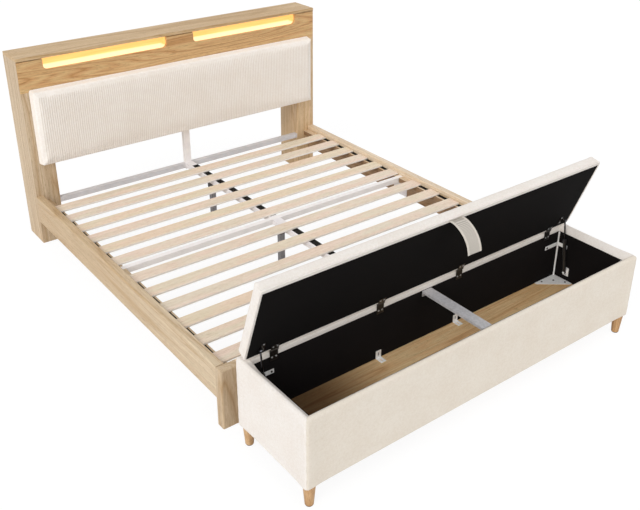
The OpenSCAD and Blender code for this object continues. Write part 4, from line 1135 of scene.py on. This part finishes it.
def narrow(node, name, flange, share, finish):
    """A copy of a corner fitting's mesh whose upright flanges are `share` as wide."""
    mesh = nodes[node].data.copy()
    mesh.name = name
    at = nodes[node].matrix_world
    low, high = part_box(node)
    corner_x, back, front, foot = high.x, high.y, low.y, low.z + 0.0019
    for vertex in mesh.vertices:
        spot = at @ vertex.co
        side_x, side_y = (1 if spot.x > 0 else -1), (back if spot.y > (back + front) / 2 else front)
        away_x, away_y = corner_x - abs(spot.x), abs(side_y - spot.y)
        if spot.z > foot and max(away_x, away_y) < flange + 0.0003:
            drawn = [a if a < SHEET + 0.0002 else SHEET + (a - SHEET) * share
                     for a in (away_x, away_y)]
            spot.x = side_x * (corner_x - drawn[0])
            spot.y = side_y + (-drawn[1] if side_y == back else drawn[1])
        vertex.co = spot
    mesh.materials.clear()
    mesh.materials.append(finish)
    return show(name, mesh)


corners = narrow("corner_fittings", "corner_strips", 0.012, 0.40, zinc_flake)
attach(corners, "bed_and_chest")
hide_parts("corner_fittings")
print("corner strips:", len(corners.data.polygons), "faces")

# %% [markdown]
# ## Webbing
# The slats are fixed to woven bands, so that they roll up for transport. The middle band is wide
# and lies on the centre beam, and the ones at the ends lie on the ledges. Each is a thin ribbon
# with a thicker selvedge, in two lengths: the middle tube parts them. The head half's middle band
# runs on past the first slat.

# %% Bands
band_low, band_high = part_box("webbing")
ledge_edge = band_high.x - 0.025
outer_from, outer_to = ledge_edge + 0.006, ledge_edge + 0.0305
overhang = 0.062
halves = [(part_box("slat_12")[0].y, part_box("slat_7")[1].y, 0.0),
          (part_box("slat_6")[0].y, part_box("slat_1")[1].y, overhang)]
spans = [(-outer_to, -outer_from, 0), (-0.013, 0.025, 1), (outer_from, outer_to, 0)]
bands = []
for y_from, y_to, past in halves:
    for x_from, x_to, middle in spans:
        xs = x_from + (x_to - x_from) * np.array([0, 0.04, 0.12, 0.16, 0.5, 0.84, 0.88, 0.96, 1.0])
        ys = np.linspace(y_from, y_to + past * middle, 90)
        band = np.stack(np.meshgrid(xs, ys, (band_low.z, band_high.z), indexing="ij"), -1)
        band[3:6, :, 1, 2] -= 0.00025
        bands.append(band)
webbing = lattice_object("slat_webbing", bands, black_webbing)
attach(webbing, "bed_and_chest")
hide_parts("webbing")
print("webbing:", len(bands), "bands,", len(webbing.data.polygons), "faces")

# %% [markdown]
# ## Stitches, screws and staples
# Small things that repeat are instances on points. A tree takes a mesh of bare points, each with
# a normal and a heading, puts one small shape on every point, turns it, makes the copies real and
# gives them their finish. The same tree serves for stitches, screw heads and staples: only the
# shape and the points differ.

# %% A tree that puts a shape on points
scatter, given = tree_with_inputs("shape_on_points", {
    "Shape": ("Object", None), "Size": ("Float", 1.0), "Finish": ("Material", None)})
outward, heading = [add(scatter, "GeometryNodeInputNamedAttribute", {"Name": label},
                        data_type="FLOAT_VECTOR").outputs[0] for label in ("outward", "heading")]
upright = add(scatter, "FunctionNodeAlignRotationToVector", {"Vector": outward}, axis="Z")
headed = add(scatter, "FunctionNodeAlignRotationToVector",
             {"Rotation": upright.outputs[0], "Vector": heading}, axis="X", pivot_axis="Z")
shape = add(scatter, "GeometryNodeObjectInfo", {"Object": given["Shape"]})
copies = add(scatter, "GeometryNodeInstanceOnPoints", {
    "Points": given["Geometry"], "Instance": shape.outputs["Geometry"],
    "Rotation": headed.outputs[0], "Scale": given["Size"]})
end_tree(scatter, copies.outputs[0], given["Finish"])


def on_points(name, shape_object, spots, finish, size=1.0):
    """spots = [(place, outward, heading)]; gives one mesh object with the shape on every spot."""
    mesh = bpy.data.meshes.new(name)
    mesh.from_pydata([tuple(s[0]) for s in spots], [], [])
    for label, part in (("outward", 1), ("heading", 2)):
        layer = mesh.attributes.new(label, "FLOAT_VECTOR", "POINT")
        layer.data.foreach_set("vector", np.array([s[part] for s in spots], np.float32).ravel())
    piece = show(name, mesh)
    grow(piece, scatter, {"Shape": shape_object, "Size": size, "Finish": finish})
    return piece


# %% Shapes to repeat
def cross_screw(name, radius, height):
    """A pan head with a crossed recess."""
    arm, wide, deep = radius * 0.62, radius * 0.16, height * 0.55
    outline = [(arm, wide), (wide, wide), (wide, arm), (-wide, arm), (-wide, wide), (-arm, wide),
               (-arm, -wide), (-wide, -wide), (-wide, -arm), (wide, -arm), (wide, -wide),
               (arm, -wide)]
    sides = 24
    shell = bmesh.new()
    angles = [2 * math.pi * s / sides for s in range(sides)]
    rings = [[shell.verts.new((r * math.cos(a), r * math.sin(a), h)) for a in angles]
             for r, h in ((radius, 0), (radius, height * 0.35), (radius * 0.93, height * 0.75),
                          (radius * 0.75, height))]
    for lower, upper in zip(rings, rings[1:]):
        for s in range(sides):
            shell.faces.new((lower[s], lower[(s + 1) % sides], upper[(s + 1) % sides], upper[s]))
    rim = [shell.verts.new((x, y, height)) for x, y in outline]
    sole = [shell.verts.new((x * 0.8, y * 0.8, height - deep)) for x, y in outline]
    turns = sorted(range(12),
                   key=lambda i: math.atan2(outline[i][1], outline[i][0]) % (2 * math.pi))
    ring, low_ring = [rim[i] for i in turns], [sole[i] for i in turns]
    for s in range(12):
        a, b = ring[s], ring[(s + 1) % 12]
        o = [rings[-1][(2 * s + n) % sides] for n in range(3)]
        shell.faces.new((o[0], o[1], a))
        shell.faces.new((o[1], o[2], b, a))
        shell.faces.new((a, b, low_ring[(s + 1) % 12], low_ring[s]))
    shell.faces.new(low_ring)
    shell.faces.new(rings[0][::-1])
    bmesh.ops.recalc_face_normals(shell, faces=shell.faces)
    mesh = bpy.data.meshes.new(name)
    shell.to_mesh(mesh)
    shell.free()
    return bpy.data.objects.new(name, mesh)


def thread(name, path, thick, finish):
    """A short piece of thread or wire, kept out of the scene."""
    piece = tube_along(name, path, thick / 2, finish, sides=6)
    scene.collection.objects.unlink(piece)
    return piece


def stitch_shape(name, length, thick):
    """One stitch: a short, bent thread whose ends dip into the cloth."""
    path = [(length * (t - 0.5), 0, thick * (math.sin(math.pi * t) * 0.9 - 0.35))
            for t in np.linspace(0, 1, 6)]
    return thread(name, path, thick, cream_cloth)


def staple_shape(name, crown, wire):
    """The crown of a staple with its two corners, pressed into the cloth."""
    half = crown / 2
    path = [(-half, 0, -wire), (-half, 0, 0), (-half + wire / 2, 0, wire / 2),
            (half - wire / 2, 0, wire / 2), (half, 0, 0), (half, 0, -wire)]
    return thread(name, path, wire, screw_steel)


screw_9 = cross_screw("screw_9", 0.0048, 0.0034)
screw_8 = cross_screw("screw_8", 0.0043, 0.0016)
stitch = stitch_shape("stitch", 0.0042, 0.0009)
staple = staple_shape("staple", 0.011, 0.0012)
print("shapes:", [(o.name, len(o.data.polygons)) for o in (screw_9, screw_8, stitch, staple)])

# %% [markdown]
# ## Where the screws sit
# The engineering model has a plain disc wherever a screw holds a sheet part. A pan head with a
# crossed recess goes over each disc. Its place follows from the boxes of the parts: the lining's
# inner faces, the floor board's top and the hinge axis. Every cross is turned the same odd way,
# as `tilt` says.

# %% Screw places
lined_low, lined_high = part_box("chest_lining")
lined_x, lined_front, lined_back = lined_high.x - 0.001, lined_low.y + 0.001, lined_high.y - 0.001
floor_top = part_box("chest_floor")[1].z
face_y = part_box("fascia")[0].y
hinge_xs = (-0.839, -0.277, 0.209, 0.839)
slant_in = Vector(lid_place([0, 0, -1]) - lid_place([0, 0, 0]))
slant_up = Vector(lid_place([0, -1, 0]) - lid_place([0, 0, 0]))
X, Y, Z = Vector((1, 0, 0)), Vector((0, 1, 0)), Vector((0, 0, 1))
tilt = Vector((0.8, 0.6, 0.3))
sides = (-1, 1)

# In the two head tubes, beside the centre post and at their ends, and in the middle tube's plates.
head_tube_z, beside_post, tube_end = 0.249, 0.034, 0.844
frame_screws = [((s * x, face_y, head_tube_z), -Y, tilt) for s in sides
                for x in (beside_post, tube_end)]
mid_y = sum(corner.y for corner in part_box("mid_cross_tube")) / 2
ledge_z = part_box("ledge_left")[0].z
plate_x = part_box("rail_plates")[1].x - 0.003
plate_height, off_tube = 0.094, 0.04
frame_screws += [((s * plate_x, mid_y + d * off_tube, ledge_z - h * plate_height), -s * X, tilt)
                 for s in sides for d in sides for h in (0.3, 0.7)]

# In the brace bar's ends, and in the corners' gussets and upright strips.
brace_x, brace_gap, brace_down = 0.003, 0.0135, 0.021
brace_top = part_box("brace_bar")[1].z
chest_screws = [((brace_x + s * brace_gap, y, brace_top - brace_down), out, tilt) for s in sides
                for y, out in ((lined_front + SHEET, Y), (lined_back - SHEET, -Y))]
gusset_spots = ((0.1125, 0.0144), (0.018, 0.09), (0.0525, 0.042))
strip_z, strip_along_x, strip_along_y = floor_top + 0.188, 0.088, 0.049
for sx in sides:
    for y, sy in ((lined_back, -1), (lined_front, 1)):
        chest_screws += [((sx * (lined_x - a), y + sy * b, floor_top + SHEET), Z, tilt)
                         for a, b in gusset_spots]
        chest_screws += [
            ((sx * (lined_x - strip_along_x), y + sy * SHEET, strip_z), sy * Y, tilt),
            ((sx * (lined_x - SHEET), y + sy * strip_along_y, strip_z), -sx * X, tilt)]

# In each hinge's two leaves, and in the struts' brackets on the walls and on the lid.
leaf_gap, leaf_down, leaf_along = 0.010, 0.0362, 0.0218
hinge_screws = [((x + s * leaf_gap, lined_back - SHEET, hinge_axis.z - leaf_down), -Y, tilt)
                for x in hinge_xs for s in sides]
stud, stud_gap = Vector((0.939, rear_y - wall - 0.075, floor_top + 0.053)), 0.017
hinge_screws += [((s * stud.x, stud.y, stud.z + d * stud_gap), -s * X, tilt)
                 for s in sides for d in sides]
bracket_x, bracket_along, bracket_gap = 0.903, 0.055, 0.0147
lid_spots = [(x + s * leaf_gap, -leaf_along, -SHEET) for x in hinge_xs for s in sides]
lid_spots += [(s * bracket_x, -bracket_along + d * bracket_gap, -SHEET)
              for s in sides for d in sides]
lid_screws = [(lid_place(spot), slant_in, tilt) for spot in lid_spots]

for name, body, slot, head, spots, finish in (
        ("frame_screws", "bed_and_chest", "white_powder_coat", screw_9, frame_screws, white_coat),
        ("chest_screws", "bed_and_chest", "zinc_plate", screw_9, chest_screws, black_nickel),
        ("hinge_screws", "bed_and_chest", "dark_steel", screw_8, hinge_screws, screw_steel),
        ("lid_hinge_screws", "lid", "dark_steel", screw_8, lid_screws, screw_steel)):
    piece = on_points(name, head, spots, finish)
    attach(piece, body)
print("screws:", len(frame_screws) + len(chest_screws) + len(hinge_screws) + len(lid_screws))

# %% Stitches on the strap and the lid
strap_stitches = []
off_hem, stitch_count = 0.0016, 46
for share in (-0.80, -0.94, 0.80, 0.94):
    for n in range(2, stitch_count):
        at, direction, normal = strap_frame(n / stitch_count, share)
        strap_stitches += [((strap_x + share * strap_half, *(at + normal * side * off_hem)),
                            (0, *(side * normal)), (0, *direction)) for side in sides]
strap_thread = on_points("strap_stitches", stitch, strap_stitches, hem_cloth, 0.8)

lid_stitches = []
seam = rounded_path(lid_x - 0.0095, -lid_to + 0.0105, -lid_from - 0.006, 0.014, step=0.0068)
for (x, y), (x2, y2) in zip(seam, seam[1:]):
    lid_stitches.append((lid_place([x, y, 0.0009]), slant_in,
                         Vector(lid_place([x2, y2, 0]) - lid_place([x, y, 0])).normalized()))
lid_thread = on_points("lid_stitches", stitch, lid_stitches, cream_cloth)
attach(lid_thread, "lid")

# Staples hold the cloth under the walls. Each row is turned a little from its wall's line.
low_z, in_from_face, staple_step = foot_z + 0.0002, 0.034, 0.045
staples = []
for x in np.arange(-0.95, 0.951, staple_step):
    staples += [((x, front_y + in_from_face, low_z), -Z, (X + 0.15 * Y).normalized()),
                ((x, rear_y - in_from_face, low_z), -Z, (X - 0.12 * Y).normalized())]
for y in np.arange(front_y + 0.07, rear_y - 0.06, staple_step):
    staples += [((s * (chest_x - in_from_face), y, low_z), -Z, (Y + s * 0.1 * X).normalized())
                for s in sides]
tacks = on_points("chest_staples", staple, staples, screw_steel)
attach(tacks, "bed_and_chest")
print("stitches:", len(strap_stitches) + len(lid_stitches), "staples:", len(staples))

# %% [markdown]
# ## The strap when the lid shuts
# The engineering model's strap turns stiffly with the lid. A real one hangs: with the lid shut
# it drops straight down outside the chest. Here the strap and its stitches are attached to the lid
# and turn stiffly with it; `anchor` is the line just past the free edge that a hanging strap would
# fall from.

# %% Attach the strap to the lid
past_edge = 0.003
anchor = lid_place([0, -lid_to - past_edge, 0])
for piece in (strap, strap_thread):
    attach(piece, "lid")
    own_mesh(piece)
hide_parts("pull_strap")
print("strap hangs from", tuple(round(float(v), 4) for v in anchor))
